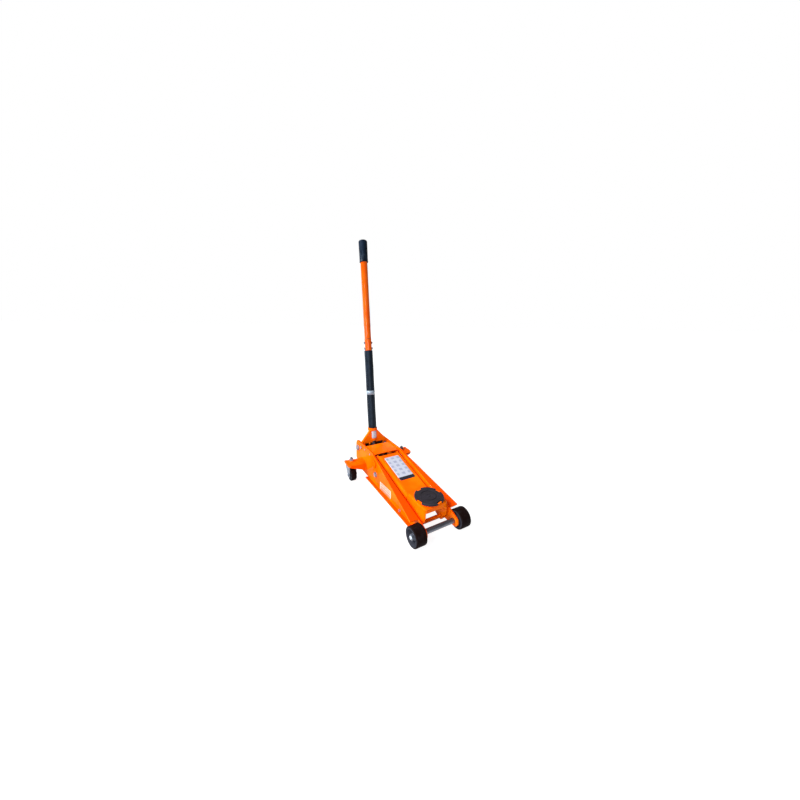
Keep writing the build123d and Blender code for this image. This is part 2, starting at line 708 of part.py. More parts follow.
# ================================================================ saddle bracket
with BuildPart() as saddle_bracket:
    saddle_y = bracket_pivot[0]
    front_y = back(BRACKET_FRONT)
    rear_y = saddle_y + BRACKET_REACH
    plan_bottom = lower_pin[1] - LOWER_EYE_R
    with BuildSketch(Plane.XY.offset(plan_bottom)) as plan:
        with Locations((0, (front_y + rear_y) / 2)):
            Rectangle(2 * BRACKET_HALF, rear_y - front_y)
        fillet(plan.vertices().group_by(Axis.Y)[0], BRACKET_CORNER_R)
    extrude(amount=BRACKET_TOP - plan_bottom)
    fillet(saddle_bracket.faces().sort_by(Axis.Z)[-1].edges().sort_by(Axis.Y)[:-1], 9)
    with BuildSketch(side_plane(-BRACKET_HALF)):
        with BuildLine():
            rise = BRACKET_TOP - bracket_pivot[1]
            rear_top = (saddle_y + sqrt(BRACKET_REACH**2 - rise**2), BRACKET_TOP)
            low = radians(22)
            rear_low = (
                saddle_y + BRACKET_REACH * cos(low),
                bracket_pivot[1] - BRACKET_REACH * sin(low),
            )
            Polyline(
                rear_low,
                (lower_pin[0] + 5, lower_pin[1] - LOWER_EYE_R + 1),
                *[(back(distance), height) for distance, height in CHEEK_EDGE],
                (front_y, BRACKET_TOP),
                rear_top,
            )
            ThreePointArc(rear_top, (rear_y, bracket_pivot[1]), rear_low)
        make_face()
        with Locations(lower_pin):
            Circle(LOWER_EYE_R)
    extrude(amount=2 * BRACKET_HALF, mode=Mode.INTERSECT)
    with BuildSketch(Plane.XY.offset(plan_bottom - 1)) as hollow:
        with Locations((0, front_y + BRACKET_T + BRACKET_REACH)):
            Rectangle(2 * (BRACKET_HALF - BRACKET_T), 2 * BRACKET_REACH)
        fillet(hollow.vertices().group_by(Axis.Y)[0], BRACKET_CORNER_R - BRACKET_T)
    extrude(amount=BRACKET_TOP - BRACKET_T - plan_bottom + 1, mode=Mode.SUBTRACT)
    window_height = BRACKET_TOP - BRACKET_LIP - plan_bottom
    with BuildSketch(Plane.XZ.offset(-saddle_y)):
        with Locations((0, plan_bottom + window_height / 2)):
            Rectangle(2 * (BRACKET_HALF - BRACKET_T - 2), window_height)
    extrude(amount=saddle_y - front_y + 1, mode=Mode.SUBTRACT)
    for centre, radius in ((bracket_pivot, BRACKET_SHAFT_R), (lower_pin, LOWER_PIN_R)):
        with BuildSketch(side_plane(-BRACKET_HALF - 1)):
            with Locations(centre):
                Circle(radius)
        extrude(amount=2 * BRACKET_HALF + 2, mode=Mode.SUBTRACT)
    with BuildSketch(Plane.XY.offset(BRACKET_TOP + 1)):
        with Locations((0, saddle_y)):
            Circle(POST_R + RUN)
    extrude(amount=-BRACKET_T - 2, mode=Mode.SUBTRACT)
keep(saddle_bracket, "saddle_bracket")

with BuildPart() as bracket_shaft:
    with BuildSketch(side_plane(-BRACKET_HALF)):
        with Locations(bracket_pivot):
            Circle(BRACKET_SHAFT_R)
    extrude(amount=2 * BRACKET_HALF)
    for side, name in SIDES:
        with BuildSketch(side_plane(side * BRACKET_HALF)):
            with Locations(bracket_pivot):
                Circle(BRACKET_SHAFT_R + 2)
        extrude(amount=side * 1.2)
keep(bracket_shaft, "bracket_shaft")

with BuildPart() as lower_cross_pin:
    rod_out = ROD_IN + ROD_T
    with BuildSketch(side_plane(-rod_out - GAP)):
        with Locations(lower_pin):
            Circle(LOWER_PIN_R)
    extrude(amount=2 * (rod_out + GAP))
    for side, name in SIDES:
        with BuildSketch(side_plane(side * (rod_out + GAP))):
            with Locations(lower_pin):
                Circle(LOWER_PIN_R + 2)
        extrude(amount=side * 2)
keep(lower_cross_pin, "lower_cross_pin")


# ================================================================ saddle
def saddle_quarter(quarter, height):
    """Level plane over the saddle's middle, turned to one of its four lugs."""
    spin = radians(SADDLE_TURN + 90 * quarter)
    return Plane(
        origin=(0, saddle_y, height),
        x_dir=(cos(spin), sin(spin), 0),
        z_dir=(0, 0, 1),
    )


LUG_OUT = SADDLE_R - 2
LUG_IN = LUG_OUT - LUG_T
notch_floor = sqrt(LUG_IN**2 - (LUG_WIDTH / 2) ** 2) - NOTCH_GAP

with BuildPart() as saddle_cup:
    cup_bottom = BRACKET_TOP + GAP
    cup_top = cup_bottom + CUP_T
    with BuildSketch(Plane.XY.offset(cup_bottom)):
        with Locations((0, saddle_y)):
            Circle(SADDLE_R - 3)
    extrude(amount=CUP_T)
    fillet(saddle_cup.edges().group_by(Axis.Z)[0], CUP_T / 2)
    with BuildSketch(Plane.XY.offset(cup_bottom)):
        with Locations((0, saddle_y)):
            Circle(POST_R)
    extrude(amount=-BRACKET_T - 5)
    for quarter in range(4):
        with BuildSketch(saddle_quarter(quarter, cup_top)):
            Circle(LUG_OUT)
            Circle(LUG_IN, mode=Mode.SUBTRACT)
            with Locations((SADDLE_R, 0)):
                Rectangle(2 * SADDLE_R, LUG_WIDTH, mode=Mode.INTERSECT)
        extrude(amount=SADDLE_TOP - 4 - cup_top)
keep(saddle_cup, "saddle_cup")

with BuildPart() as saddle_pad:
    with BuildSketch(Plane.XY.offset(cup_top)):
        with Locations((0, saddle_y)):
            Circle(SADDLE_R)
    extrude(amount=SADDLE_TOP - cup_top)
    fillet(saddle_pad.edges().group_by(Axis.Z)[-1], 2)
    for quarter in range(4):
        with BuildSketch(saddle_quarter(quarter, cup_top)):
            with Locations((notch_floor + SADDLE_R / 2, 0)):
                Rectangle(SADDLE_R, LUG_WIDTH + 2 * NOTCH_GAP)
        extrude(amount=SADDLE_TOP - cup_top, mode=Mode.SUBTRACT)
    with BuildSketch(Plane.XY.offset(SADDLE_TOP)):
        with Locations((0, saddle_y)):
            for outer, inner in PAD_GROOVES:
                Circle(outer)
                Circle(inner, mode=Mode.SUBTRACT)
    extrude(amount=-PAD_GROOVE_DEPTH, mode=Mode.SUBTRACT)
keep(saddle_pad, "saddle_pad")


# ================================================================ radius rods
for side, name in SIDES:
    rod_length = hypot(rod_anchor[0] - lower_pin[0], rod_anchor[1] - lower_pin[1])
    rod_angle = degrees(atan2(rod_anchor[1] - lower_pin[1], rod_anchor[0] - lower_pin[0]))
    middle = ((rod_anchor[0] + lower_pin[0]) / 2, (rod_anchor[1] + lower_pin[1]) / 2)
    with BuildPart() as radius_rod:
        with BuildSketch(side_plane(side * ROD_IN)):
            with Locations(Location((middle[0], middle[1], 0), (0, 0, rod_angle))):
                Rectangle(rod_length, 2 * ROD_HALF)
            with Locations(rod_anchor, lower_pin):
                Circle(ROD_EYE_R)
            with Locations(rod_anchor):
                Circle(ROD_PIN_R + RUN, mode=Mode.SUBTRACT)
            with Locations(lower_pin):
                Circle(LOWER_PIN_R + 0.5, mode=Mode.SUBTRACT)
        extrude(amount=side * ROD_T)
    keep(radius_rod, f"radius_rod_{name}")

with BuildPart() as rod_anchor_bolts:
    for side, name in SIDES:
        with BuildSketch(side_plane(side * (ROD_IN - GAP - 1.7))):
            with Locations(rod_anchor):
                Circle(ROD_PIN_R + 3)
        extrude(amount=side * 1.7)
        with BuildSketch(side_plane(side * (ROD_IN - GAP))):
            with Locations(rod_anchor):
                Circle(ROD_PIN_R)
        extrude(amount=side * (FRAME_OUT - ROD_IN + GAP))
        with BuildSketch(side_plane(side * (ROD_IN + ROD_T + GAP))):
            with Locations(rod_anchor):
                Circle(ROD_PIN_R + 4)
        extrude(amount=side * (FRAME_IN - ROD_IN - ROD_T - GAP))
        with BuildSketch(side_plane(side * FRAME_OUT)):
            with Locations(rod_anchor):
                Circle(13)
        extrude(amount=side * 2)
        with BuildSketch(side_plane(side * (FRAME_OUT + 2))):
            with Locations(rod_anchor):
                RegularPolygon(radius=11, side_count=6)
        extrude(amount=side * 6)
keep(rod_anchor_bolts, "rod_anchor_bolts")


# ================================================================ cross members
with BuildPart() as front_tie_bar:
    with BuildSketch(side_plane(-FRAME_OUT)):
        with Locations(tie_bar):
            Circle(TIE_BAR_R)
    extrude(amount=2 * FRAME_OUT)
    with BuildSketch(side_plane(-FRAME_IN)):
        with Locations(tie_bar):
            Circle(TIE_BAR_R + 1)
    extrude(amount=2 * FRAME_IN)
keep(front_tie_bar, "front_tie_bar")

with BuildPart() as tie_bar_bolts:
    for side, name in SIDES:
        with BuildSketch(side_plane(side * FRAME_OUT)):
            with Locations(tie_bar):
                RegularPolygon(radius=6.5, side_count=6)
        extrude(amount=side * 5)
keep(tie_bar_bolts, "tie_bar_bolts")

with BuildPart() as rear_cross_tube:
    with BuildSketch(side_plane(-FRAME_IN)):
        with Locations(cross_tube):
            Circle(CROSS_TUBE_R)
            Circle(CROSS_TUBE_R - CROSS_TUBE_WALL, mode=Mode.SUBTRACT)
    extrude(amount=2 * FRAME_IN)
keep(rear_cross_tube, "rear_cross_tube")

with BuildPart() as cover_plate:
    with BuildSketch(Plane.XZ.offset(-back(COVER_BACK))):
        with Locations((0, COVER_TOP - COVER_DROP)):
            RectangleRounded(2 * COVER_HALF, 2 * COVER_DROP, COVER_BEND_R)
        with Locations((0, COVER_TOP - COVER_DROP - COVER_T)):
            RectangleRounded(
                2 * (COVER_HALF - COVER_T), 2 * COVER_DROP, COVER_BEND_R - COVER_T, mode=Mode.SUBTRACT
            )
        with Locations((0, COVER_TOP - 2 * COVER_DROP)):
            Rectangle(3 * COVER_HALF, 2 * COVER_DROP, mode=Mode.SUBTRACT)
    extrude(amount=COVER_BACK - COVER_FRONT)
    with BuildSketch(side_plane(-COVER_HALF - 1)):
        with Locations(*cover_screws_at):
            Circle(COVER_SCREW_R)
    extrude(amount=2 * COVER_HALF + 2, mode=Mode.SUBTRACT)
keep(cover_plate, "cover_plate")

with BuildPart() as cover_screws:
    for side, name in SIDES:
        with BuildSketch(side_plane(side * (COVER_HALF - COVER_T - 2))):
            with Locations(*cover_screws_at):
                Circle(COVER_SCREW_R)
        extrude(amount=side * (FRAME_OUT - COVER_HALF + COVER_T + 2))
        with BuildSketch(side_plane(side * FRAME_OUT)):
            with Locations(*cover_screws_at):
                Circle(4.5)
        extrude(amount=side * 2.5)
keep(cover_screws, "cover_screws")


# ================================================================ power unit
roller_arms = (PLUNGER_X - ROLLER_ARM_IN - ROLLER_ARM_T, PLUNGER_X + ROLLER_ARM_IN)
roller_angle = radians(HANDLE_TRAVEL / 2)
roller_rest = (
    handle_pivot[0] + ROLLER_LEVER * sin(roller_angle),
    handle_pivot[1] - ROLLER_LEVER * cos(roller_angle),
)

with BuildPart() as pump_block:
    with BuildSketch(Plane.XZ.offset(-back(BLOCK_BACK))):
        with Locations((0, (BLOCK_TOP + BLOCK_BOTTOM) / 2)):
            RectangleRounded(2 * BLOCK_HALF, BLOCK_TOP - BLOCK_BOTTOM, 8)
    extrude(amount=BLOCK_BACK - BLOCK_FRONT)
    with BuildSketch(Plane.XZ.offset(-back(BLOCK_BACK + 34))):
        with Locations((9, 92)):
            RectangleRounded(38, 44, 5)
    extrude(amount=34)
    with BuildSketch(Plane.XZ.offset(-back(BLOCK_FRONT))):
        with Locations((0, UNIT_Z)):
            Circle(RAM_R + RUN)
    extrude(amount=-(BLOCK_BACK - BLOCK_FRONT - 8), mode=Mode.SUBTRACT)
    with BuildSketch(Plane.XZ.offset(-back(BLOCK_BACK))):
        with Locations((PLUNGER_X, roller_rest[1])):
            Circle(PLUNGER_R + RUN)
    extrude(amount=38, mode=Mode.SUBTRACT)
    with BuildSketch(handle_plane(-10)):
        Circle(7 + RUN)
    extrude(amount=-16, mode=Mode.SUBTRACT)
keep(pump_block, "pump_block")

with BuildPart() as reservoir:
    with BuildSketch(Plane.XZ.offset(-back(BLOCK_FRONT))):
        with Locations((0, UNIT_Z)):
            Circle(RESERVOIR_R)
    extrude(amount=BLOCK_FRONT - RESERVOIR_FRONT)
    fillet(reservoir.faces().sort_by(Axis.Y)[0].edges(), 6)
    with BuildSketch(Plane.XZ.offset(-back(BLOCK_FRONT))):
        with Locations((0, UNIT_Z)):
            Circle(RAM_R + RUN)
    extrude(amount=BLOCK_FRONT - RESERVOIR_FRONT, mode=Mode.SUBTRACT)
keep(reservoir, "oil_reservoir")

with BuildPart() as unit_plate:
    with BuildSketch(Plane.XY.offset(BLOCK_BOTTOM)):
        with Locations((0, back((BLOCK_FRONT + BLOCK_BACK) / 2))):
            Rectangle(2 * FRAME_IN, BLOCK_BACK - BLOCK_FRONT - 4)
    extrude(amount=-4)
keep(unit_plate, "power_unit_plate")

with BuildPart() as ram:
    head_back = ram_pin[0] + RAM_PIN_R + 5.5
    with BuildSketch(Plane.XZ.offset(-head_back)):
        with Locations((0, UNIT_Z)):
            Circle(RAM_R)
    extrude(amount=-(back(BLOCK_BACK - 12) - head_back))
keep(ram, "ram")

with BuildPart() as ram_head:
    head_front = head_back - RAM_HEAD_LENGTH
    low_pin_z = arm_pivot[1] - LEVER
    with BuildSketch(Plane.XZ.offset(-head_back)):
        with Locations((0, UNIT_Z)):
            RectangleRounded(2 * RAM_HEAD_HALF, 44, 5)
    extrude(amount=RAM_HEAD_LENGTH)
    slot_half = RAM_PIN_R + 1.2
    with BuildSketch(side_plane(-RAM_HEAD_HALF - 1)):
        with Locations((ram_pin[0], (low_pin_z + ram_pin[1]) / 2)):
            SlotOverall(ram_pin[1] - low_pin_z + 2 * slot_half, 2 * slot_half, rotation=90)
    extrude(amount=2 * RAM_HEAD_HALF + 2, mode=Mode.SUBTRACT)
keep(ram_head, "ram_head")

with BuildPart() as pump_plunger:
    plunger_end = roller_rest[0] - ROLLER_R - 1.0
    with BuildSketch(Plane.XZ.offset(-plunger_end)):
        with Locations((PLUNGER_X, roller_rest[1])):
            Circle(PLUNGER_HEAD_R)
    extrude(amount=PLUNGER_HEAD_T)
    with BuildSketch(Plane.XZ.offset(-plunger_end + PLUNGER_HEAD_T)):
        with Locations((PLUNGER_X, roller_rest[1])):
            Circle(PLUNGER_R)
    extrude(amount=plunger_end - PLUNGER_HEAD_T - back(BLOCK_BACK - 8))
keep(pump_plunger, "pump_plunger")

with BuildPart() as plunger_spring:
    with BuildSketch(Plane.XZ.offset(-back(BLOCK_BACK))):
        with Locations((PLUNGER_X, roller_rest[1])):
            Circle(PLUNGER_HEAD_R - 0.5)
            Circle(PLUNGER_R + 1, mode=Mode.SUBTRACT)
    extrude(amount=-(plunger_end - PLUNGER_HEAD_T - back(BLOCK_BACK)))
keep(plunger_spring, "plunger_spring")

with BuildPart() as release_spindle:
    with BuildSketch(handle_plane(-24)):
        Circle(7)
    extrude(amount=40)
    with BuildSketch(handle_plane(12)):
        Circle(9.5)
    extrude(amount=20)
    with BuildSketch(handle_plane(22)):
        Rectangle(6, 24)
    extrude(amount=11, mode=Mode.SUBTRACT)
keep(release_spindle, "release_spindle")

for side, name in SIDES:
    with BuildPart() as return_spring:
        spring_start = ram_pin[0] + RAM_PIN_R + GAP
        with BuildSketch(Plane.XZ.offset(-spring_start)):
            with Locations((side * SPRING_X, ram_pin[1])):
                Circle(SPRING_R)
        extrude(amount=-(back(BLOCK_FRONT) - spring_start))
    keep(return_spring, f"return_spring_{name}")


# ================================================================ handle yoke
def front_plane(ahead):
    """Plane square to the jack's length and tilted with the handle."""
    y, z = handle_point(0, ahead)
    return Plane(origin=(0, y, z), x_dir=(1, 0, 0), z_dir=(0, -cos(tilt), sin(tilt)))


with BuildPart() as handle_yoke:
    socket_r = LOWER_TUBE_R + RUN + SOCKET_WALL
    web_half = CHEEK_IN + CHEEK_T
    with BuildSketch(front_plane(GUSSET_AHEAD)):
        with BuildLine():
            Polyline(
                (-web_half, GUSSET_LOW),
                (-web_half, GUSSET_SHOULDER),
                (-GUSSET_TOP_HALF, GUSSET_TOP),
                (GUSSET_TOP_HALF, GUSSET_TOP),
                (web_half, GUSSET_SHOULDER),
                (web_half, GUSSET_LOW),
                close=True,
            )
        make_face()
    extrude(amount=-GUSSET_T)
    for side, name in SIDES:
        with BuildSketch(front_plane(GUSSET_AHEAD)):
            with BuildLine():
                Polyline(
                    (side * web_half, GUSSET_SHOULDER - GUSSET_T),
                    (side * web_half, GUSSET_SHOULDER),
                    (side * GUSSET_TOP_HALF, GUSSET_TOP),
                    (side * (GUSSET_TOP_HALF - GUSSET_T), GUSSET_TOP),
                    (side * (web_half - GUSSET_T), GUSSET_SHOULDER - GUSSET_T),
                    close=True,
                )
            make_face()
        extrude(amount=-GUSSET_FOLD)
        with BuildSketch(side_plane(side * CHEEK_IN)):
            with BuildLine():
                Polyline(
                    handle_point(GUSSET_LOW, GUSSET_AHEAD - GUSSET_T),
                    handle_point(GUSSET_SHOULDER, GUSSET_AHEAD),
                    handle_point(GUSSET_SHOULDER, GUSSET_AHEAD - GUSSET_FOLD),
                    handle_point(22, 12 - SOCKET_AHEAD),
                    handle_point(14, -17 - SOCKET_AHEAD),
                    handle_point(-14, -15 - SOCKET_AHEAD),
                    handle_point(-12, 10 - SOCKET_AHEAD),
                    close=True,
                )
            make_face()
            with Locations(handle_pivot):
                Circle(20)
                Circle(PIVOT_BOLT_R + RUN, mode=Mode.SUBTRACT)
        extrude(amount=side * CHEEK_T)
    with BuildSketch(handle_plane(SOCKET_START)):
        Circle(socket_r)
    extrude(amount=SLEEVE_START - SOCKET_START)
    with BuildSketch(handle_plane(SLEEVE_START - COLLAR_LENGTH)):
        Circle(COLLAR_R)
    extrude(amount=COLLAR_LENGTH)
    for arm_x in roller_arms:
        with BuildSketch(side_plane(arm_x)):
            with BuildLine():
                Polyline(
                    handle_point(GUSSET_LOW, GUSSET_AHEAD - GUSSET_T / 2),
                    handle_point(GUSSET_LOW + 16, GUSSET_AHEAD - GUSSET_T / 2),
                    handle_point(GUSSET_LOW + 4, -SOCKET_AHEAD / 2),
                    (handle_pivot[0] + 10, handle_pivot[1] + 10),
                    (roller_rest[0] + 7, roller_rest[1]),
                    (roller_rest[0] - 7, roller_rest[1]),
                    (handle_pivot[0] - 14, handle_pivot[1] + 6),
                    close=True,
                )
            make_face()
            with Locations(roller_rest):
                Circle(8)
                Circle(ROLLER_PIN_R, mode=Mode.SUBTRACT)
        extrude(amount=ROLLER_ARM_T)
    with BuildSketch(handle_plane(SOCKET_START - 20)):
        Circle(LOWER_TUBE_R + RUN)
    extrude(amount=SLEEVE_START - SOCKET_START + 22, mode=Mode.SUBTRACT)
keep(handle_yoke, "handle_yoke")

with BuildPart() as yoke_cross_brace:
    with BuildSketch(side_plane(-CHEEK_IN + GAP)):
        with BuildLine():
            Polyline(*[handle_point(along, ahead - SOCKET_AHEAD) for along, ahead in BRACE_FOLD])
            offset(amount=BRACE_T / 2, side=Side.BOTH)
        make_face()
    extrude(amount=2 * (CHEEK_IN - GAP))
    for arm_x in roller_arms:
        with BuildSketch(side_plane(arm_x - GAP)):
            with Locations(handle_pivot):
                Rectangle(100, 100)
        extrude(amount=ROLLER_ARM_T + 2 * GAP, mode=Mode.SUBTRACT)
keep(yoke_cross_brace, "yoke_cross_brace")

with BuildPart() as roller_pin:
    with BuildSketch(side_plane(roller_arms[0])):
        with Locations(roller_rest):
            Circle(ROLLER_PIN_R)
    extrude(amount=2 * (ROLLER_ARM_IN + ROLLER_ARM_T))
keep(roller_pin, "roller_pin")

with BuildPart() as pump_roller:
    with BuildSketch(side_plane(PLUNGER_X - ROLLER_WIDTH / 2)):
        with Locations(roller_rest):
            Circle(ROLLER_R)
            Circle(ROLLER_PIN_R, mode=Mode.SUBTRACT)
    extrude(amount=ROLLER_WIDTH)
    chamfer(pump_roller.edges().filter_by(GeomType.CIRCLE).filter_by(lambda e: e.radius > 5), 1)
keep(pump_roller, "pump_roller")

with BuildPart() as pivot_bolts:
    for side, name in SIDES:
        with BuildSketch(side_plane(side * (CHEEK_IN - 4))):
            with Locations(handle_pivot):
                Circle(PIVOT_BOLT_R)
        extrude(amount=side * (FRAME_OUT - CHEEK_IN + 4))
        with BuildSketch(side_plane(side * FRAME_OUT)):
            with Locations(handle_pivot):
                Circle(15)
        extrude(amount=side * 2.5)
        with BuildSketch(side_plane(side * (FRAME_OUT + 2.5))):
            with Locations(handle_pivot):
                RegularPolygon(radius=13, side_count=6)
        extrude(amount=side * 8)
keep(pivot_bolts, "handle_pivot_bolts")

with BuildPart() as stop_bolts:
    for side, name in SIDES:
        with BuildSketch(side_plane(side * (CHEEK_IN - 6))):
            with Locations(stop_bolt):
                Circle(STOP_BOLT_R)
        extrude(amount=side * (FRAME_OUT - CHEEK_IN + 6))
        with BuildSketch(side_plane(side * FRAME_OUT)):
            with Locations(stop_bolt):
                RegularPolygon(radius=8.5, side_count=6)
        extrude(amount=side * 5)
keep(stop_bolts, "handle_stop_bolts")


# ================================================================ handle
with BuildPart() as lower_tube:
    with BuildSketch(handle_plane(SOCKET_START + 2)):
        Circle(LOWER_TUBE_R)
        Circle(LOWER_TUBE_R - TUBE_WALL, mode=Mode.SUBTRACT)
    extrude(amount=LOWER_TUBE_END - SOCKET_START - 2)
    for down in HANDLE_BOLTS_DOWN:
        with BuildSketch(side_plane(-30)):
            with Locations(handle_point(LOWER_TUBE_END - down)):
                Circle(HANDLE_BOLT_R)
        extrude(amount=60, mode=Mode.SUBTRACT)
keep(lower_tube, "lower_handle_tube")

with BuildPart() as upper_tube:
    spigot_r = LOWER_TUBE_R - TUBE_WALL
    with BuildSketch(handle_plane(LOWER_TUBE_END - SPIGOT_LENGTH)):
        Circle(spigot_r)
    extrude(amount=SPIGOT_LENGTH + 1)
    with BuildSketch(handle_plane(LOWER_TUBE_END)):
        Circle(UPPER_TUBE_R)
    extrude(amount=HANDLE_LENGTH - GRIP_CAP - LOWER_TUBE_END)
    with BuildSketch(handle_plane(LOWER_TUBE_END - SPIGOT_LENGTH)):
        Circle(spigot_r - TUBE_WALL)
    extrude(amount=SPIGOT_LENGTH + GRIP_CAP, mode=Mode.SUBTRACT)
    with BuildSketch(handle_plane(LOWER_TUBE_END + GRIP_CAP)):
        Circle(UPPER_TUBE_R - TUBE_WALL)
    extrude(amount=HANDLE_LENGTH - LOWER_TUBE_END, mode=Mode.SUBTRACT)
    for down in HANDLE_BOLTS_DOWN:
        with BuildSketch(side_plane(-30)):
            with Locations(handle_point(LOWER_TUBE_END - down)):
                Circle(HANDLE_BOLT_R)
        extrude(amount=60, mode=Mode.SUBTRACT)
keep(upper_tube, "upper_handle_tube")

with BuildPart() as joint_bolts:
    for down in HANDLE_BOLTS_DOWN:
        with BuildSketch(side_plane(-LOWER_TUBE_R - 3)):
            with Locations(handle_point(LOWER_TUBE_END - down)):
                Circle(HANDLE_BOLT_R)
        extrude(amount=2 * LOWER_TUBE_R + 6)
        for side, name in SIDES:
            with BuildSketch(side_plane(side * LOWER_TUBE_R)):
                with Locations(handle_point(LOWER_TUBE_END - down)):
                    RegularPolygon(radius=7, side_count=6)
            extrude(amount=side * 5)
keep(joint_bolts, "handle_joint_bolts")

with BuildPart() as sleeve:
    with BuildSketch(handle_plane(SLEEVE_START + GAP)):
        Circle(SLEEVE_R)
        Circle(LOWER_TUBE_R, mode=Mode.SUBTRACT)
    extrude(amount=SLEEVE_END - SLEEVE_START - GAP)
    outer_rims = sleeve.edges().filter_by(GeomType.CIRCLE).filter_by(lambda e: e.radius > SLEEVE_R - 0.1)
    fillet(outer_rims, 2)
keep(sleeve, "foam_sleeve")

with BuildPart() as grip:
    with BuildSketch(handle_plane(GRIP_START)):
        Circle(GRIP_R)
    extrude(amount=HANDLE_LENGTH - GRIP_START)
    fillet(grip.edges().group_by(Axis.Z)[-1], GRIP_ROUND)
    with BuildSketch(handle_plane(GRIP_START)):
        Circle(UPPER_TUBE_R)
    extrude(amount=HANDLE_LENGTH - GRIP_CAP - GRIP_START, mode=Mode.SUBTRACT)
keep(grip, "handle_grip")
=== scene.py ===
import json
import math

import bmesh
import bpy
from mathutils import Matrix, Vector
from mathutils.bvhtree import BVHTree


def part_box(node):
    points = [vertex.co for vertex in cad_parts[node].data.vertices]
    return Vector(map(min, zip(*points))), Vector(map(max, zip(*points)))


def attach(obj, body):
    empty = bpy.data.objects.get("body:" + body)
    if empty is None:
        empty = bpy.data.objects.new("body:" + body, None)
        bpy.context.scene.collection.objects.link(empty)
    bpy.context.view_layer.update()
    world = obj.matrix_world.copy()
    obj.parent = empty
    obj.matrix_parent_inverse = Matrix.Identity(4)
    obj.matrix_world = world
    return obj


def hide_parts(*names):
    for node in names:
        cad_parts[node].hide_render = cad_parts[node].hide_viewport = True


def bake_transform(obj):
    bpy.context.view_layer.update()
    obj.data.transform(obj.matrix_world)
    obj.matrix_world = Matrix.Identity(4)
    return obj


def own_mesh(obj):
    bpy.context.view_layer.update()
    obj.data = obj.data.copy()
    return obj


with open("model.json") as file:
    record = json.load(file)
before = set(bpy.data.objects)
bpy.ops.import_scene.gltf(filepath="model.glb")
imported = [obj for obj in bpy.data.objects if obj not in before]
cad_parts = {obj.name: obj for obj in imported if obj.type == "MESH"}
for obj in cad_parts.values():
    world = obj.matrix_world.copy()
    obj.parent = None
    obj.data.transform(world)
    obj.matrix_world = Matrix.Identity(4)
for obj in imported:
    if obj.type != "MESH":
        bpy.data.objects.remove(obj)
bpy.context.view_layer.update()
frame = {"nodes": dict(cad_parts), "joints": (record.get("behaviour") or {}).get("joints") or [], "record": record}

joints = {joint["name"]: joint for joint in frame["joints"]}
nodes = frame["nodes"]

# ---------------------------------------------------------------- places
hair = 0.0001  # keeps a turned piece off the tube inside it
film_gap = 0.00012  # keeps a sticker off the surface under it
axle_low, axle_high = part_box("front_axle")
axle_middle = (axle_low + axle_high) / 2
handle_foot = Vector(joints["handle_twist"]["pos_m"])
handle_line = Vector(joints["handle_twist"]["axis"]).normalized()
handle_front = Vector((1, 0, 0)).cross(handle_line).normalized()
if handle_front.y > 0:
    handle_front = -handle_front


def behind(distance, x=0.0, z=0.0):
    """Point that lies this far behind the front axle."""
    return Vector((x, axle_middle.y + distance, z))


def on_handle(along, ahead=0.0, x=0.0):
    """Point along the handle's line, moved ahead of it and to one side."""
    return handle_foot + handle_line * along + handle_front * ahead + Vector((x, 0, 0))


def handle_span(node):
    """Lowest and highest place of a node along the handle, and its greatest radius."""
    alongs = []
    radii = []
    for vertex in nodes[node].data.vertices:
        offset = vertex.co - handle_foot
        along = offset.dot(handle_line)
        alongs.append(along)
        radii.append((offset - handle_line * along).length)
    return min(alongs), max(alongs), max(radii)


# ---------------------------------------------------------------- finishes
class Value:
    """A number, colour or direction that changes over a surface."""

    def __init__(self, finish, socket):
        self.finish = finish
        self.socket = socket

    def math(self, operation, other=0.0):
        return self.finish.node("ShaderNodeMath", {"operation": operation}, {0: self, 1: other})

    def axes(self):
        """The three parts of a direction or place."""
        split = self.finish.tree.nodes.new("ShaderNodeSeparateXYZ")
        self.finish.feed(split.inputs[0], self)
        return [Value(self.finish, socket) for socket in split.outputs]

    def __add__(self, other):
        return self.math("ADD", other)

    __radd__ = __add__

    def __mul__(self, other):
        return self.math("MULTIPLY", other)

    __rmul__ = __mul__

    def __sub__(self, other):
        return self.math("SUBTRACT", other)

    def __rsub__(self, other):
        return self.finish.node("ShaderNodeMath", {"operation": "SUBTRACT"}, {0: other, 1: self})


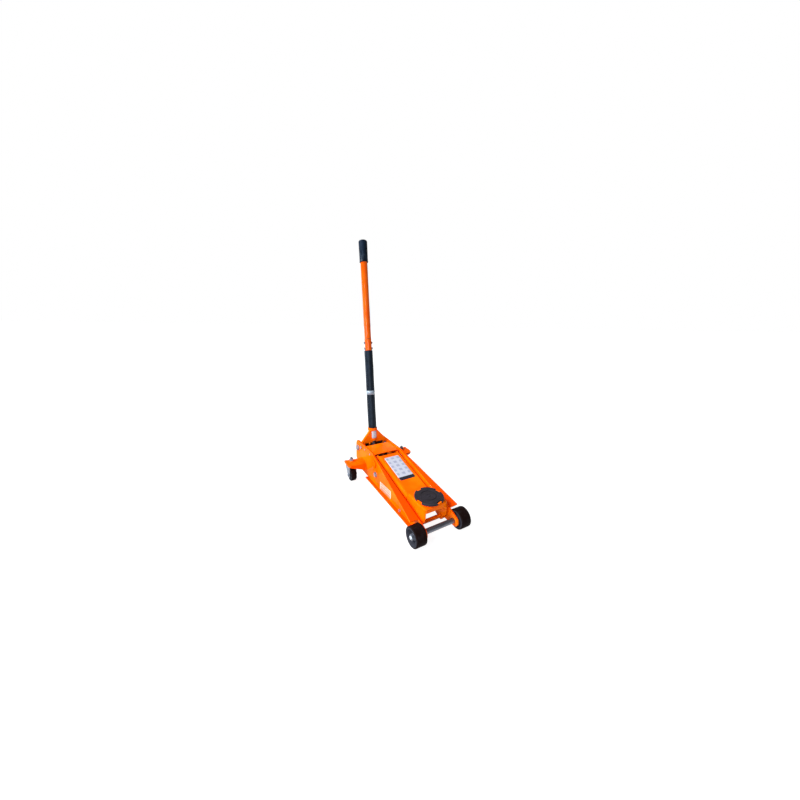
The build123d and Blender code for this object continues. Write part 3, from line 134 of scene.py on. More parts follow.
class Finish:
    """A material being made: its shader, and the nodes that feed it."""

    def __init__(self, name, constants, from_map=False):
        self.material = bpy.data.materials.new(name)
        self.material.use_nodes = True
        self.tree = self.material.node_tree
        self.shader = self.tree.nodes["Principled BSDF"]
        for socket, value in constants.items():
            self.shader.inputs[socket].default_value = value
        self.place = self.node("ShaderNodeTexCoord", output="UV" if from_map else "Object")

    def node(self, kind, settings=None, inputs=None, output=0):
        made = self.tree.nodes.new(kind)
        for name, value in (settings or {}).items():
            setattr(made, name, value)
        for key, value in (inputs or {}).items():
            self.feed(made.inputs[key], value)
        return Value(self, made.outputs[output])

    def feed(self, socket, value):
        if isinstance(value, Value):
            self.tree.links.new(value.socket, socket)
        elif socket.type == "RGBA":
            socket.default_value = (*value, 1)
        else:
            socket.default_value = value

    def give(self, **values):
        for name, value in values.items():
            self.feed(self.shader.inputs[name.replace("_", " ")], value)
        return self.material

    def moved(self, middle, stretch=(1, 1, 1)):
        """Place on the piece, measured from its own middle."""
        shifted = self.node(
            "ShaderNodeVectorMath", {"operation": "SUBTRACT"}, {0: self.place, 1: tuple(middle)}
        )
        return self.node(
            "ShaderNodeVectorMath", {"operation": "MULTIPLY"}, {0: shifted, 1: tuple(stretch)}
        )

    def noise(self, scale, detail=3.0, at=None, roughness=0.5):
        return self.node(
            "ShaderNodeTexNoise",
            inputs={
                "Vector": at or self.place,
                "Scale": scale,
                "Detail": detail,
                "Roughness": roughness,
            },
        )

    def pores(self, scale):
        return self.node(
            "ShaderNodeTexVoronoi",
            {"feature": "F1"},
            {"Vector": self.place, "Scale": scale},
            output="Distance",
        )

    def step(self, value, low, high, first=0.0, last=1.0):
        return self.node(
            "ShaderNodeMapRange",
            {"interpolation_type": "SMOOTHSTEP"},
            {"Value": value, "From Min": low, "From Max": high, "To Min": first, "To Max": last},
        )

    def mix(self, share, first, second):
        return self.node(
            "ShaderNodeMix", {"data_type": "RGBA"}, {0: share, 6: first, 7: second}, output=2
        )

    def rounded(self, radius):
        return self.node("ShaderNodeBevel", {"samples": 6}, {"Radius": radius}, output="Normal")

    def edges(self, rounded):
        """How strongly an outer or inner corner bends here, from 0 on a flat face."""
        flat = self.node("ShaderNodeNewGeometry", output="Normal")
        facing = self.node(
            "ShaderNodeVectorMath",
            {"operation": "DOT_PRODUCT"},
            {0: rounded, 1: flat},
            output="Value",
        )
        return 1 - facing

    def bump(self, height, strength, distance, normal=None):
        inputs = {"Strength": strength, "Distance": distance, "Height": height}
        if normal:
            inputs["Normal"] = normal
        return self.node("ShaderNodeBump", inputs=inputs, output="Normal")

    def radius_from(self, middle, along):
        """Distance from a line through middle, along one of the three axes."""
        keep = [1.0, 1.0, 1.0]
        keep["XYZ".index(along)] = 0.0
        return self.node(
            "ShaderNodeVectorMath",
            {"operation": "LENGTH"},
            {0: self.moved(middle, keep)},
            output="Value",
        )


def colour(text):
    """Linear colour of a six-digit colour code."""
    parts = [int(text[i:i + 2], 16) / 255 for i in (0, 2, 4)]
    return tuple(
        part / 12.92 if part <= 0.04045 else ((part + 0.055) / 1.055) ** 2.4 for part in parts
    )


def orange_paint(
    name, deep="FF5E00", bright="FF7302", edge_highlight="FF9A22", ripple=0.05, coat=0.14, top_shade=None
):
    """Gloss powder coat: fine orange peel, lighter edges that are thin paint and painted highlight, and, when
    given, a painted shade tone on upward faces.
    """
    paint = Finish(
        name,
        {"Coat Weight": coat, "Coat Roughness": 0.07, "IOR": 1.5, "Specular IOR Level": 0.0},
    )
    drift = paint.noise(9.0, 2.0)
    peel = paint.noise(620.0, 2.0)
    speck = paint.noise(1900.0, 1.0)
    rounded = paint.rounded(0.0014)
    rim = paint.step(paint.edges(rounded), 0.04, 0.5)
    body = paint.mix(paint.step(drift, 0.35, 0.65), colour(deep), colour(bright))
    # Painted shade: upward faces are mixed toward a darker, redder tone.
    if top_shade:
        lie = paint.node("ShaderNodeNewGeometry", output="Normal").axes()[2]
        body = paint.mix(paint.step(lie, 0.5, 0.8), body, colour(top_shade))
    # Lighter edges and corners: thin paint there, and a painted highlight.
    skin = paint.mix(rim * 0.55, body, colour(edge_highlight))
    return paint.give(
        Base_Color=skin,
        Roughness=paint.step(drift + speck * 0.4, 0.4, 1.0, 0.2, 0.34),
        Normal=paint.bump(peel + speck * 0.3, ripple, 0.0006, rounded),
    )


def bright_zinc(name, lathe=(40.0, 40.0, 40.0), tone="A2A8B4", dark="4E545E", roughness=0.24):
    """Zinc plate: mottled, with turning marks along the given stretch."""
    zinc = Finish(name, {"Metallic": 0.45, "IOR": 1.5, "Specular IOR Level": 0.3})
    cloud = zinc.noise(90.0, 4.0)
    marks = zinc.noise(1.0, 2.0, zinc.moved((0, 0, 0), lathe))
    rounded = zinc.rounded(0.0011)
    rim = zinc.step(zinc.edges(rounded), 0.03, 0.35)
    body = zinc.mix(zinc.step(cloud + marks * 0.6, 0.55, 1.05), colour(dark), colour(tone))
    return zinc.give(
        Base_Color=zinc.mix(rim * 0.85, body, colour("2C2F34")),
        Roughness=zinc.step(cloud, 0.3, 0.7, roughness - 0.06, roughness + 0.12),
        Normal=zinc.bump(marks + cloud * 0.5, 0.12, 0.0004, rounded),
    )


def plain_steel(name, lathe=(40.0, 40.0, 40.0), tone="6E7176", dark="3C3E42", bright_past=None):
    """Oiled steel: darker patches and turning marks, and ends that may be bright."""
    steel = Finish(name, {"IOR": 2.0})
    cloud = steel.noise(55.0, 5.0, roughness=0.6)
    marks = steel.noise(1.0, 3.0, steel.moved((0, 0, 0), lathe))
    rounded = steel.rounded(0.0006)
    rim = steel.step(steel.edges(rounded), 0.05, 0.5)
    body = steel.mix(steel.step(cloud * 0.7 + marks * 0.5, 0.45, 0.8), colour(dark), colour(tone))
    if bright_past:
        out = steel.place.axes()[0].math("ABSOLUTE")
        body = steel.mix(steel.step(out, bright_past - 0.001, bright_past), body, colour("C8CCD0"))
    return steel.give(
        Base_Color=steel.mix(rim * 0.5, body, colour("A9ACB0")),
        Metallic=steel.step(cloud, 0.35, 0.6, 0.75, 0.95),
        Roughness=steel.step(cloud + marks * 0.4, 0.5, 0.9, 0.3, 0.46),
        Normal=steel.bump(marks + cloud * 0.6, 0.14, 0.0005, rounded),
    )


def moulded_wheel(name, middle, face_radius, tread="160B09", face="2A2A30", lip="4C505A"):
    """Hard moulded wheel: near-black tread, greyer ribbed sides, fine mould lines."""
    wheel = Finish(name, {"IOR": 1.48, "Specular IOR Level": 0.02})
    reach = wheel.radius_from(middle, "X")
    grain = wheel.noise(850.0, 3.0)
    cloud = wheel.noise(60.0, 3.0)
    scuff = wheel.step(wheel.noise(1.0, 4.0, wheel.moved(middle, (420.0, 30.0, 30.0))), 0.55, 0.75)
    rounded = wheel.rounded(0.0012)
    rim = wheel.step(wheel.edges(rounded), 0.05, 0.5)
    side = wheel.step(reach, face_radius - 0.002, face_radius + 0.0015, 1.0, 0.0)
    body = wheel.mix(side, colour(tread), colour(face))
    mottled = wheel.mix(wheel.step(cloud, 0.4, 0.7) * 0.05, body, colour(lip))
    rings = (reach * 2600.0).math("SINE")
    _, deep, high = wheel.moved(middle).axes()
    spokes = (deep.math("ARCTAN2", high) * 44.0).math("SINE")
    ribs = wheel.step(spokes, 0.1, 0.8) * side
    ribs = ribs * wheel.step(reach, face_radius - 0.011, face_radius - 0.009)
    worn = rim * 0.4 + ribs * 0.25 + scuff * (1 - side) * 0.04
    return wheel.give(
        Base_Color=wheel.mix(worn, mottled, colour(lip)),
        Roughness=wheel.step(cloud + grain * 0.4, 0.45, 0.95, 0.46, 0.64),
        Normal=wheel.bump(grain + rings * side * 0.12 + ribs * 1.5, 0.16, 0.0006, rounded),
    )


def ringed_rubber(name, middle):
    """Saddle pad rubber: brown-black, with fine moulded rings and worn ridges."""
    pad = Finish(name, {"IOR": 1.45, "Specular IOR Level": 0.2})
    reach = pad.radius_from(middle, "Z")
    grain = pad.noise(700.0, 4.0)
    cloud = pad.noise(45.0, 4.0)
    waves = (reach * 1100.0).math("SINE")
    rounded = pad.rounded(0.0012)
    rim = pad.step(pad.edges(rounded), 0.05, 0.5)
    body = pad.mix(pad.step(cloud, 0.35, 0.7), colour("1C181D"), colour("27232A"))
    dusty = pad.mix(pad.step(waves, 0.2, 1.0) * 0.45, body, colour("3A353D"))
    return pad.give(
        Base_Color=pad.mix(rim * 0.5, dusty, colour("4A444E")),
        Roughness=pad.step(cloud + grain * 0.3, 0.4, 0.9, 0.55, 0.75),
        Normal=pad.bump(waves * 0.5 + grain * 0.5, 0.22, 0.0008, rounded),
    )


def black_rubber(name, tone, light, scale, roughness, depth, coat):
    """Smooth rubber or skinned foam: blue-black, with fine pores."""
    rubber = Finish(
        name,
        {
            "IOR": 1.45,
            "Specular IOR Level": 0.16,
            "Specular Tint": (0.5, 0.72, 1.0, 1.0),
            "Coat Weight": coat,
            "Coat Roughness": 0.3,
        },
    )
    pores = rubber.pores(scale)
    cloud = rubber.noise(38.0, 4.0)
    fine = rubber.noise(scale * 1.6, 3.0)
    body = rubber.mix(rubber.step(cloud, 0.3, 0.75), colour(tone), colour(light))
    pitted = rubber.mix(rubber.step(pores, 0.0, 0.35, 0.45, 0.0), body, colour("0A0C0F"))
    return rubber.give(
        Base_Color=pitted,
        Roughness=rubber.step(cloud + fine * 0.5, 0.5, 1.0, roughness - 0.06, roughness + 0.1),
        Normal=rubber.bump(pores + fine * 0.5, 0.3, depth),
    )


def rough_casting(name, tone="2A2A2E", light="3E3F44", roughness=0.5):
    """Painted casting: grainy, with lighter worn corners."""
    cast = Finish(name, {"IOR": 1.5})
    grain = cast.noise(420.0, 5.0, roughness=0.65)
    cloud = cast.noise(30.0, 4.0)
    rounded = cast.rounded(0.0015)
    rim = cast.step(cast.edges(rounded), 0.05, 0.5)
    body = cast.mix(cast.step(cloud, 0.35, 0.7), colour(tone), colour(light))
    return cast.give(
        Base_Color=cast.mix(rim * 0.45, body, colour("6A6C70")),
        Roughness=cast.step(grain + cloud, 0.7, 1.3, roughness - 0.1, roughness + 0.12),
        Normal=cast.bump(grain, 0.35, 0.0008, rounded),
    )


def printed_film(
    name, ground, ink, rows, columns, band=None, band_share=0.0, strength=0.5, rim=0.1
):
    """Plain sticker film: blank soft panels on a pale ground, and a plain end band."""
    film = Finish(name, {"IOR": 1.48, "Coat Weight": 0.3, "Coat Roughness": 0.12}, from_map=True)
    across, up, _ = film.place.axes()

    def cell(value, count):
        wave = (value * float(count)).math("FRACT")
        return film.step(wave, rim, rim + 0.08) * film.step(wave, 0.92 - rim, 1.0 - rim, 1.0, 0.0)

    field = film.step(up, band_share + 0.03, band_share + 0.05)
    field = field * film.step(up, 0.955, 0.975, 1.0, 0.0)
    margin = film.step(across, 0.05, 0.07) * film.step(across, 0.93, 0.95, 1.0, 0.0)
    panels = cell(across * 0.86 + 0.07, columns) * cell(up, rows) * field * margin
    cloud = film.noise(6.0, 3.0)
    paper = film.mix(panels * strength, colour(ground), colour(ink))
    tinted = film.mix(film.step(cloud, 0.4, 0.7) * 0.12, paper, colour(ink))
    if band:
        lower = film.step(up, band_share - 0.006, band_share + 0.006, 1.0, 0.0)
        tinted = film.mix(lower, tinted, colour(band))
    grain = film.noise(60.0, 4.0)
    return film.give(
        Base_Color=tinted,
        Roughness=film.step(cloud, 0.3, 0.7, 0.28, 0.4),
        Normal=film.bump(grain + panels * 0.4, 0.06, 0.0003),
    )


gloss_orange = orange_paint("gloss_orange_paint")
# Side plates: their upward faces, the wings most of all, get painted shade.
plate_orange_top_shade = orange_paint("gloss_orange_plate_top_shade", top_shade="FC4A00")
# Below, the fourth colour of each coat is its painted edge highlight.
tube_orange = orange_paint("gloss_orange_tube", "F55600", "FF6A06", "FF8E28", 0.03, 0.6)
weld_orange = orange_paint("painted_weld", "FA5800", "FF6E04", "FF9A30", 0.12)
# Dark orange-brown for the tube joint ring: painted shade standing in for the shadow at the step.
joint_shadow_paint = rough_casting("painted_joint_shadow", "5A1E08", "6E2A0C")
zinc_hardware = bright_zinc("bright_zinc")
zinc_fork = bright_zinc("brushed_zinc_fork", (60.0, 60.0, 700.0), "8E949E", "5C626C", 0.34)
zinc_wire = bright_zinc("zinc_spring_wire", (500.0, 500.0, 500.0), "B9BCC2", "6E7278", 0.3)
axle_steel = plain_steel(
    "turned_axle_steel", (900.0, 20.0, 20.0), "787A84", "54565E", axle_high.x - 0.0165
)
dark_zinc = bright_zinc("darkened_zinc", (40.0, 40.0, 40.0), "747882", "4A4E56", 0.4)
ram_steel = plain_steel("ground_ram_steel", (20.0, 700.0, 20.0), "B0B3B8", "7C8086")
shaft_steel = plain_steel("turned_shaft_steel", (900.0, 20.0, 20.0), "7C7F84", "505358")
black_paint = rough_casting("satin_black_paint", "1C1C20", "2A2B30", 0.42)
casting = rough_casting("black_casting", "2C2C30", "3C3D42", 0.55)
foam_skin = black_rubber("skinned_foam", "080B10", "141C28", 700.0, 0.4, 0.0004, 0.1)
grip_rubber = black_rubber("grip_rubber", "080E16", "152334", 1500.0, 0.34, 0.0002, 0.1)
arm_film = printed_film("blank_arm_label", "BCBECB", "6E7494", 6, 3, "1B1A26", 0.12, rim=0.2)
socket_film = printed_film("blank_socket_label", "C6CAD4", "A4AABC", 4, 1)
plate_film = printed_film("blank_plate_label", "FFCFC0", "F66E4C", 3, 1, strength=0.8, rim=0.04)
band_film = printed_film("blank_sleeve_band", "9CA8B4", "74828F", 1, 5)

wheel_finishes = {}
for side in ("left", "right"):
    for kind, face_radius in (("front", 0.0355), ("caster", 0.029)):
        node = f"{kind}_wheel_{side}"
        low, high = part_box(node)
        wheel_finishes[node] = moulded_wheel(f"moulded_{node}", (low + high) / 2, face_radius)
pad_low, pad_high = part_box("saddle_pad")
pad_finish = ringed_rubber("ringed_pad_rubber", (pad_low + pad_high) / 2)

by_slot = {
    "orange_paint": gloss_orange,
    "painted_tube": tube_orange,
    "zinc_plate": zinc_hardware,
    "dark_steel": shaft_steel,
    "dark_paint": black_paint,
    "dark_casting": casting,
    "foam": foam_skin,
    "rubber_grip": grip_rubber,
    "rubber_pad": pad_finish,
}
by_node = {
    "side_plate_left": plate_orange_top_shade,
    "side_plate_right": plate_orange_top_shade,
    "front_axle": axle_steel,
    "axle_nuts": dark_zinc,
    "caster_fork_left": zinc_fork,
    "caster_fork_right": zinc_fork,
    "ram": ram_steel,
    "pump_plunger": ram_steel,
    "return_spring_left": zinc_wire,
    "return_spring_right": zinc_wire,
    "plunger_spring": zinc_wire,
    **wheel_finishes,
}
for part in frame["record"]["subparts"]:
    finish = by_node.get(part["node"]) or by_slot[part["material_slot"]]
    slots = nodes[part["node"]].material_slots
    for slot in slots:
        slot.material = finish


# ---------------------------------------------------------------- making pieces
def piece(name, mesh, material, body):
    """Finished object from a mesh already in its place; no body where it is blended."""
    mesh.name = name
    mesh.materials.clear()
    mesh.materials.append(material)
    made = bpy.data.objects.new(name, mesh)
    bpy.context.scene.collection.objects.link(made)
    if body:
        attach(made, body)
    return made


def turned_mesh(name, profile, foot, line, steps=72, wobble=None):
    """Closed shape turned from (radius, along) points; a radius of 0 is a pole."""
    line = line.normalized()
    across = line.orthogonal().normalized()
    over = line.cross(across)
    shape = bmesh.new()
    rings = []
    for radius, along in profile:
        if radius < 1e-6:
            rings.append([shape.verts.new(foot + line * along)])
            continue
        ring = []
        for step in range(steps):
            angle = math.tau * step / steps
            reach = radius + (wobble(angle, along) if wobble else 0.0)
            spoke = across * math.cos(angle) + over * math.sin(angle)
            ring.append(shape.verts.new(foot + line * along + spoke * reach))
        rings.append(ring)
    closed = len(rings[0]) > 1 and len(rings[-1]) > 1
    pairs = list(zip(rings, rings[1:]))
    if closed:
        pairs.append((rings[-1], rings[0]))
    for first, second in pairs:
        for step in range(steps):
            after = (step + 1) % steps
            corners = [
                first[step % len(first)], first[after % len(first)],
                second[after % len(second)], second[step % len(second)],
            ]
            unique = []
            for corner in corners:
                if corner not in unique:
                    unique.append(corner)
            shape.faces.new(unique)
    bmesh.ops.recalc_face_normals(shape, faces=shape.faces)
    mesh = bpy.data.meshes.new(name)
    shape.to_mesh(mesh)
    shape.free()
    for face in mesh.polygons:
        face.use_smooth = True
    return mesh


def arc_points(centre, radius, start, end, steps):
    """Profile points on an arc, with angles in degrees from the radius direction."""
    points = []
    for step in range(steps + 1):
        angle = math.radians(start + (end - start) * step / steps)
        points.append((centre[0] + radius * math.cos(angle), centre[1] + radius * math.sin(angle)))
    return points


def laid_film(name, node, place, towards, size, cells, thickness=0.00018, corner=0.0):
    """Sticker laid on a node's surface: place(u, v) is a point off it, towards points at it."""
    target = nodes[node].data
    tree = BVHTree.FromPolygons(
        [vertex.co for vertex in target.vertices],
        [tuple(face.vertices) for face in target.polygons],
    )
    shape = bmesh.new()
    layer = shape.loops.layers.uv.new("UVMap")
    grid = []
    for row in range(cells[1] + 1):
        line = []
        for column in range(cells[0] + 1):
            u = column / cells[0]
            v = row / cells[1]
            squeeze = 0.0
            if corner:
                near = min(v, 1 - v) * size[1]
                if near < corner:
                    squeeze = corner - math.sqrt(corner ** 2 - (corner - near) ** 2)
            inset = squeeze / size[0]
            start = place(inset + u * (1 - 2 * inset), v)
            hit, normal, _, _ = tree.ray_cast(start, towards)
            if hit is None:
                raise ValueError(f"{name} misses {node} at {u:.2f}, {v:.2f}")
            if normal.dot(towards) > 0:
                normal = -normal
            line.append((shape.verts.new(hit + normal * film_gap), (u, v)))
        grid.append(line)
    for row in range(cells[1]):
        for column in range(cells[0]):
            corners = [
                grid[row][column], grid[row][column + 1],
                grid[row + 1][column + 1], grid[row + 1][column],
            ]
            face = shape.faces.new([spot[0] for spot in corners])
            face.smooth = True
            for loop, spot in zip(face.loops, corners):
                loop[layer].uv = spot[1]
    shape.normal_update()
    middle = shape.faces[:][len(shape.faces) // 2]
    if middle.normal.dot(towards) > 0:
        bmesh.ops.reverse_faces(shape, faces=shape.faces)
    mesh = bpy.data.meshes.new(name)
    shape.to_mesh(mesh)
    shape.free()
    seed = bpy.data.objects.new(name + "_sheet", mesh)
    bpy.context.scene.collection.objects.link(seed)
    wall = seed.modifiers.new("wall", "SOLIDIFY")
    wall.thickness = thickness
    wall.offset = 1.0
    solid = bpy.data.meshes.new_from_object(
        seed.evaluated_get(bpy.context.evaluated_depsgraph_get())
    )
    bpy.data.objects.remove(seed)
    return solid


# ---------------------------------------------------------------- growing trees
class Growth:
    """A Geometry Nodes tree being made, with named inputs."""

    def __init__(self, name, inputs):
        self.group = bpy.data.node_groups.new(name, "GeometryNodeTree")
        face = self.group.interface
        face.new_socket("Geometry", in_out="INPUT", socket_type="NodeSocketGeometry")
        for label, kind in inputs.items():
            face.new_socket(label, in_out="INPUT", socket_type=f"NodeSocket{kind}")
        face.new_socket("Geometry", in_out="OUTPUT", socket_type="NodeSocketGeometry")
        self.entry = self.group.nodes.new("NodeGroupInput")
        self.exit = self.group.nodes.new("NodeGroupOutput")

    def node(self, kind, settings=None, inputs=None):
        made = self.group.nodes.new(kind)
        for name, value in (settings or {}).items():
            setattr(made, name, value)
        for key, value in (inputs or {}).items():
            if isinstance(value, bpy.types.NodeSocket):
                self.group.links.new(value, made.inputs[key])
            else:
                made.inputs[key].default_value = value
        return made

    def end(self, geometry):
        whole = self.node("GeometryNodeRealizeInstances", inputs={"Geometry": geometry})
        coated = self.node(
            "GeometryNodeSetMaterial",
            inputs={"Geometry": whole.outputs[0], "Material": self.entry.outputs["Finish"]},
        )
        self.group.links.new(coated.outputs[0], self.exit.inputs[0])

    def grow(self, name, start, values):
        """Plain mesh that the tree makes from a starting mesh and its named sizes."""
        seed = bpy.data.objects.new(name + "_seed", start)
        bpy.context.scene.collection.objects.link(seed)
        modifier = seed.modifiers.new("growth", "NODES")
        modifier.node_group = self.group
        for item in self.group.interface.items_tree:
            if item.in_out == "INPUT" and item.name in values:
                modifier[item.identifier] = values[item.name]
        mesh = bpy.data.meshes.new_from_object(
            seed.evaluated_get(bpy.context.evaluated_depsgraph_get())
        )
        seed.modifiers.remove(modifier)
        bpy.data.objects.remove(seed)
        return mesh


def coil_growth():
    """Wire wound round the Z axis: springs and screw threads."""
    coil = Growth(
        "wound_wire",
        {
            "Radius": "Float",
            "Wire": "Float",
            "Length": "Float",
            "Turns": "Float",
            "Finish": "Material",
        },
    )
    sizes = coil.entry.outputs
    line = coil.node(
        "GeometryNodeCurveSpiral",
        inputs={
            "Resolution": 28,
            "Rotations": sizes["Turns"],
            "Start Radius": sizes["Radius"],
            "End Radius": sizes["Radius"],
            "Height": sizes["Length"],
        },
    )
    ring = coil.node(
        "GeometryNodeCurvePrimitiveCircle", inputs={"Resolution": 8, "Radius": sizes["Wire"]}
    )
    swept = coil.node(
        "GeometryNodeCurveToMesh",
        inputs={"Curve": line.outputs[0], "Profile Curve": ring.outputs[0], "Fill Caps": True},
    )
    smooth = coil.node("GeometryNodeSetShadeSmooth", inputs={"Geometry": swept.outputs[0]})
    coil.end(smooth.outputs[0])
    return coil


def weld_growth():
    """Overlapping ripples along a path: a weld bead."""
    weld = Growth(
        "weld_ripples",
        {"Spacing": "Float", "Width": "Float", "Seed": "Int", "Finish": "Material"},
    )
    sizes = weld.entry.outputs
    path = weld.node("GeometryNodeMeshToCurve", inputs={"Mesh": sizes["Geometry"]})
    spots = weld.node(
        "GeometryNodeCurveToPoints",
        {"mode": "LENGTH"},
        {"Curve": path.outputs[0], "Length": sizes["Spacing"]},
    )
    drop = weld.node(
        "GeometryNodeMeshUVSphere", inputs={"Segments": 12, "Rings": 8, "Radius": sizes["Width"]}
    )
    vary = weld.node(
        "FunctionNodeRandomValue",
        {"data_type": "FLOAT_VECTOR"},
        {"Min": (0.85, 0.85, 0.5), "Max": (1.08, 1.08, 0.62), "Seed": sizes["Seed"]},
    )
    placed = weld.node(
        "GeometryNodeInstanceOnPoints",
        inputs={
            "Points": spots.outputs["Points"],
            "Instance": drop.outputs["Mesh"],
            "Rotation": spots.outputs["Rotation"],
            "Scale": vary.outputs[0],
        },
    )
    smooth = weld.node("GeometryNodeSetShadeSmooth", inputs={"Geometry": placed.outputs[0]})
    weld.end(smooth.outputs[0])
    return weld


wound_wire = coil_growth()
weld_ripples = weld_growth()


def wound(name, foot, line, radius, wire, length, turns, material, body):
    """Wire wound from foot along a line."""
    mesh = wound_wire.grow(
        name,
        bpy.data.meshes.new(name + "_start"),
        {"Radius": radius, "Wire": wire, "Length": length, "Turns": turns, "Finish": material},
    )
    turn = line.normalized().to_track_quat("Z", "X").to_matrix().to_4x4()
    mesh.transform(Matrix.Translation(foot) @ turn)
    return piece(name, mesh, material, body)


def welded(name, paths, width, material, body, seed):
    """Weld bead along open paths of points."""
    points = []
    links = []
    for path in paths:
        first = len(points)
        points.extend(path)
        links.extend((first + i, first + i + 1) for i in range(len(path) - 1))
    start = bpy.data.meshes.new(name + "_path")
    start.from_pydata([tuple(point) for point in points], links, [])
    mesh = weld_ripples.grow(
        name,
        start,
        {"Spacing": width * 0.72, "Width": width, "Seed": seed, "Finish": material},
    )
    return piece(name, mesh, material, body)


# ---------------------------------------------------------------- handle
sleeve_low, sleeve_high, sleeve_r = handle_span("foam_sleeve")
_, lower_end, tube_r = handle_span("lower_handle_tube")
sleeve_rim = 0.0022
swell = 0.0003  # room left for the foam's unevenness
sleeve_steps = 40


def foam_swell(angle, along):
    """Slight unevenness of the foam's skin."""
    return 0.00022 * math.sin(3 * angle + 41 * along) + 0.00016 * math.sin(67 * along + 2 * angle)


sleeve_straight = sleeve_high - sleeve_low - 2 * sleeve_rim
sleeve_profile = [(tube_r + hair, sleeve_low), (sleeve_r - sleeve_rim, sleeve_low)]
sleeve_profile += arc_points(
    (sleeve_r - sleeve_rim, sleeve_low + sleeve_rim), sleeve_rim - swell, -90, 0, 6
)
for step in range(1, sleeve_steps):
    sleeve_profile.append(
        (sleeve_r - swell, sleeve_low + sleeve_rim + sleeve_straight * step / sleeve_steps)
    )
sleeve_profile += arc_points(
    (sleeve_r - sleeve_rim, sleeve_high - sleeve_rim), sleeve_rim - swell, 0, 90, 6
)
sleeve_profile += [(tube_r + hair, sleeve_high)]
sleeve = piece(
    "foam_sleeve_skin",
    turned_mesh("foam_sleeve_skin", sleeve_profile, handle_foot, handle_line, 72, foam_swell),
    foam_skin,
    "handle",
)
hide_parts("foam_sleeve")

grip_low, grip_high, grip_r = handle_span("handle_grip")
_, tube_end, upper_r = handle_span("upper_handle_tube")
shoulder = 0.0075
crown = 0.001
foot_round = 0.0012
collar_top = 0.004
groove_count = 4
groove_start = 0.009
groove_pitch = 0.006
groove_shape = ((0.0006, 0.0), (0.0011, 0.0008), (0.0011, 0.0016), (0.0006, 0.0024))
grip_profile = [(0, tube_end + hair), (upper_r - 0.001, tube_end + hair)]
grip_profile += [(upper_r + hair, tube_end), (upper_r + hair, grip_low)]
grip_profile += [(grip_r - foot_round, grip_low)]
grip_profile += arc_points((grip_r - foot_round, grip_low + foot_round), foot_round, -90, 0, 4)
grip_profile += [(grip_r, grip_low + collar_top), (grip_r - 0.0006, grip_low + 0.0052)]
for groove in range(groove_count):
    foot = grip_low + groove_start + groove_pitch * groove
    grip_profile += [(grip_r - sink, foot + rise) for sink, rise in groove_shape]
grip_profile += [(grip_r - 0.0004, (grip_low + grip_high) / 2), (grip_r, grip_high - 0.02)]
grip_profile += arc_points(
    (grip_r - shoulder, grip_high - shoulder - crown), shoulder, 0, 80, 10
)
grip_profile += [(0.009, grip_high - 0.0002), (0.004, grip_high - hair), (0, grip_high - hair)]
grip = piece(
    "handle_grip_rubber",
    turned_mesh("handle_grip_rubber", grip_profile, handle_foot, handle_line, 96),
    grip_rubber,
    "handle",
)
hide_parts("handle_grip")

# Thin ring at the joint of the two handle tubes, dark with painted shade for the step's shadow.
seam_proud = 0.0003
seam_rim = 0.0016
seam_top = 0.0022
seam_profile = [
    (upper_r + hair, lower_end + hair), (tube_r + seam_proud, lower_end + hair),
    (tube_r + seam_proud, lower_end + seam_rim), (upper_r + hair, lower_end + seam_top),
]
piece(
    "tube_joint_shadow_ring",
    turned_mesh("tube_joint_shadow_ring", seam_profile, handle_foot, handle_line, 72),
    joint_shadow_paint,
    "handle",
)

# ---------------------------------------------------------------- springs and threads
wire = 0.0011
return_turns = 25
for side in ("left", "right"):
    node = f"return_spring_{side}"
    low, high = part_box(node)
    middle = (low + high) / 2
    radius = (high.x - low.x) / 2 - wire
    coil = wound(
        f"{node}_coil",
        Vector((middle.x, low.y + wire, middle.z)),
        Vector((0, 1, 0)),
        radius,
        wire,
        high.y - low.y - 2 * wire,
        return_turns,
        zinc_wire,
        None,
    )
    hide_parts(node)
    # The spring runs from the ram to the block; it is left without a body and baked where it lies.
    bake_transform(coil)

pump_wire = 0.0012
pump_turns = 7
low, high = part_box("plunger_spring")
middle = (low + high) / 2
pump_coil = wound(
    "plunger_spring_coil",
    Vector((middle.x, low.y + pump_wire, middle.z)),
    Vector((0, 1, 0)),
    (high.x - low.x) / 2 - pump_wire,
    pump_wire,
    high.y - low.y - 2 * pump_wire,
    pump_turns,
    zinc_wire,
    "frame",
)
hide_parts("plunger_spring")
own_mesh(pump_coil)

thread_down = 0.0065
thread_r = 0.0059
thread_wire = 0.0003
thread_length = 0.0062
thread_turns = 6
for side in ("left", "right"):
    low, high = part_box(f"caster_kingpin_{side}")
    middle = (low + high) / 2
    wound(
        f"kingpin_thread_{side}",
        Vector((middle.x, middle.y, high.z - thread_down)),
        Vector((0, 0, 1)),
        thread_r,
        thread_wire,
        thread_length,
        thread_turns,
        shaft_steel,
        "frame",
    )

# ---------------------------------------------------------------- weld beads
wing_bead = 0.0026
wing_bead_lift = 0.0004
for side, sign in (("left", -1), ("right", 1)):
    wing = nodes[f"caster_wing_{side}"].data
    root = min(abs(vertex.co.x) for vertex in wing.vertices)
    at_root = [v.co for v in wing.vertices if abs(abs(v.co.x) - root) < 1e-5]
    outline = sorted({(round(co.y, 5), round(co.z, 5)) for co in at_root})
    # The upper edge of the wing's root, from front to back.
    hull = []
    for point in outline:
        while len(hull) > 1 and (
            (hull[-1][0] - hull[-2][0]) * (point[1] - hull[-2][1])
            - (hull[-1][1] - hull[-2][1]) * (point[0] - hull[-2][0])
        ) >= 0:
            hull.pop()
        hull.append(point)
    path = [Vector((sign * (root + wing_bead_lift), y, z)) for y, z in hull]
    welded(f"wing_weld_{side}", [path], wing_bead, weld_orange, "frame", seed=11)

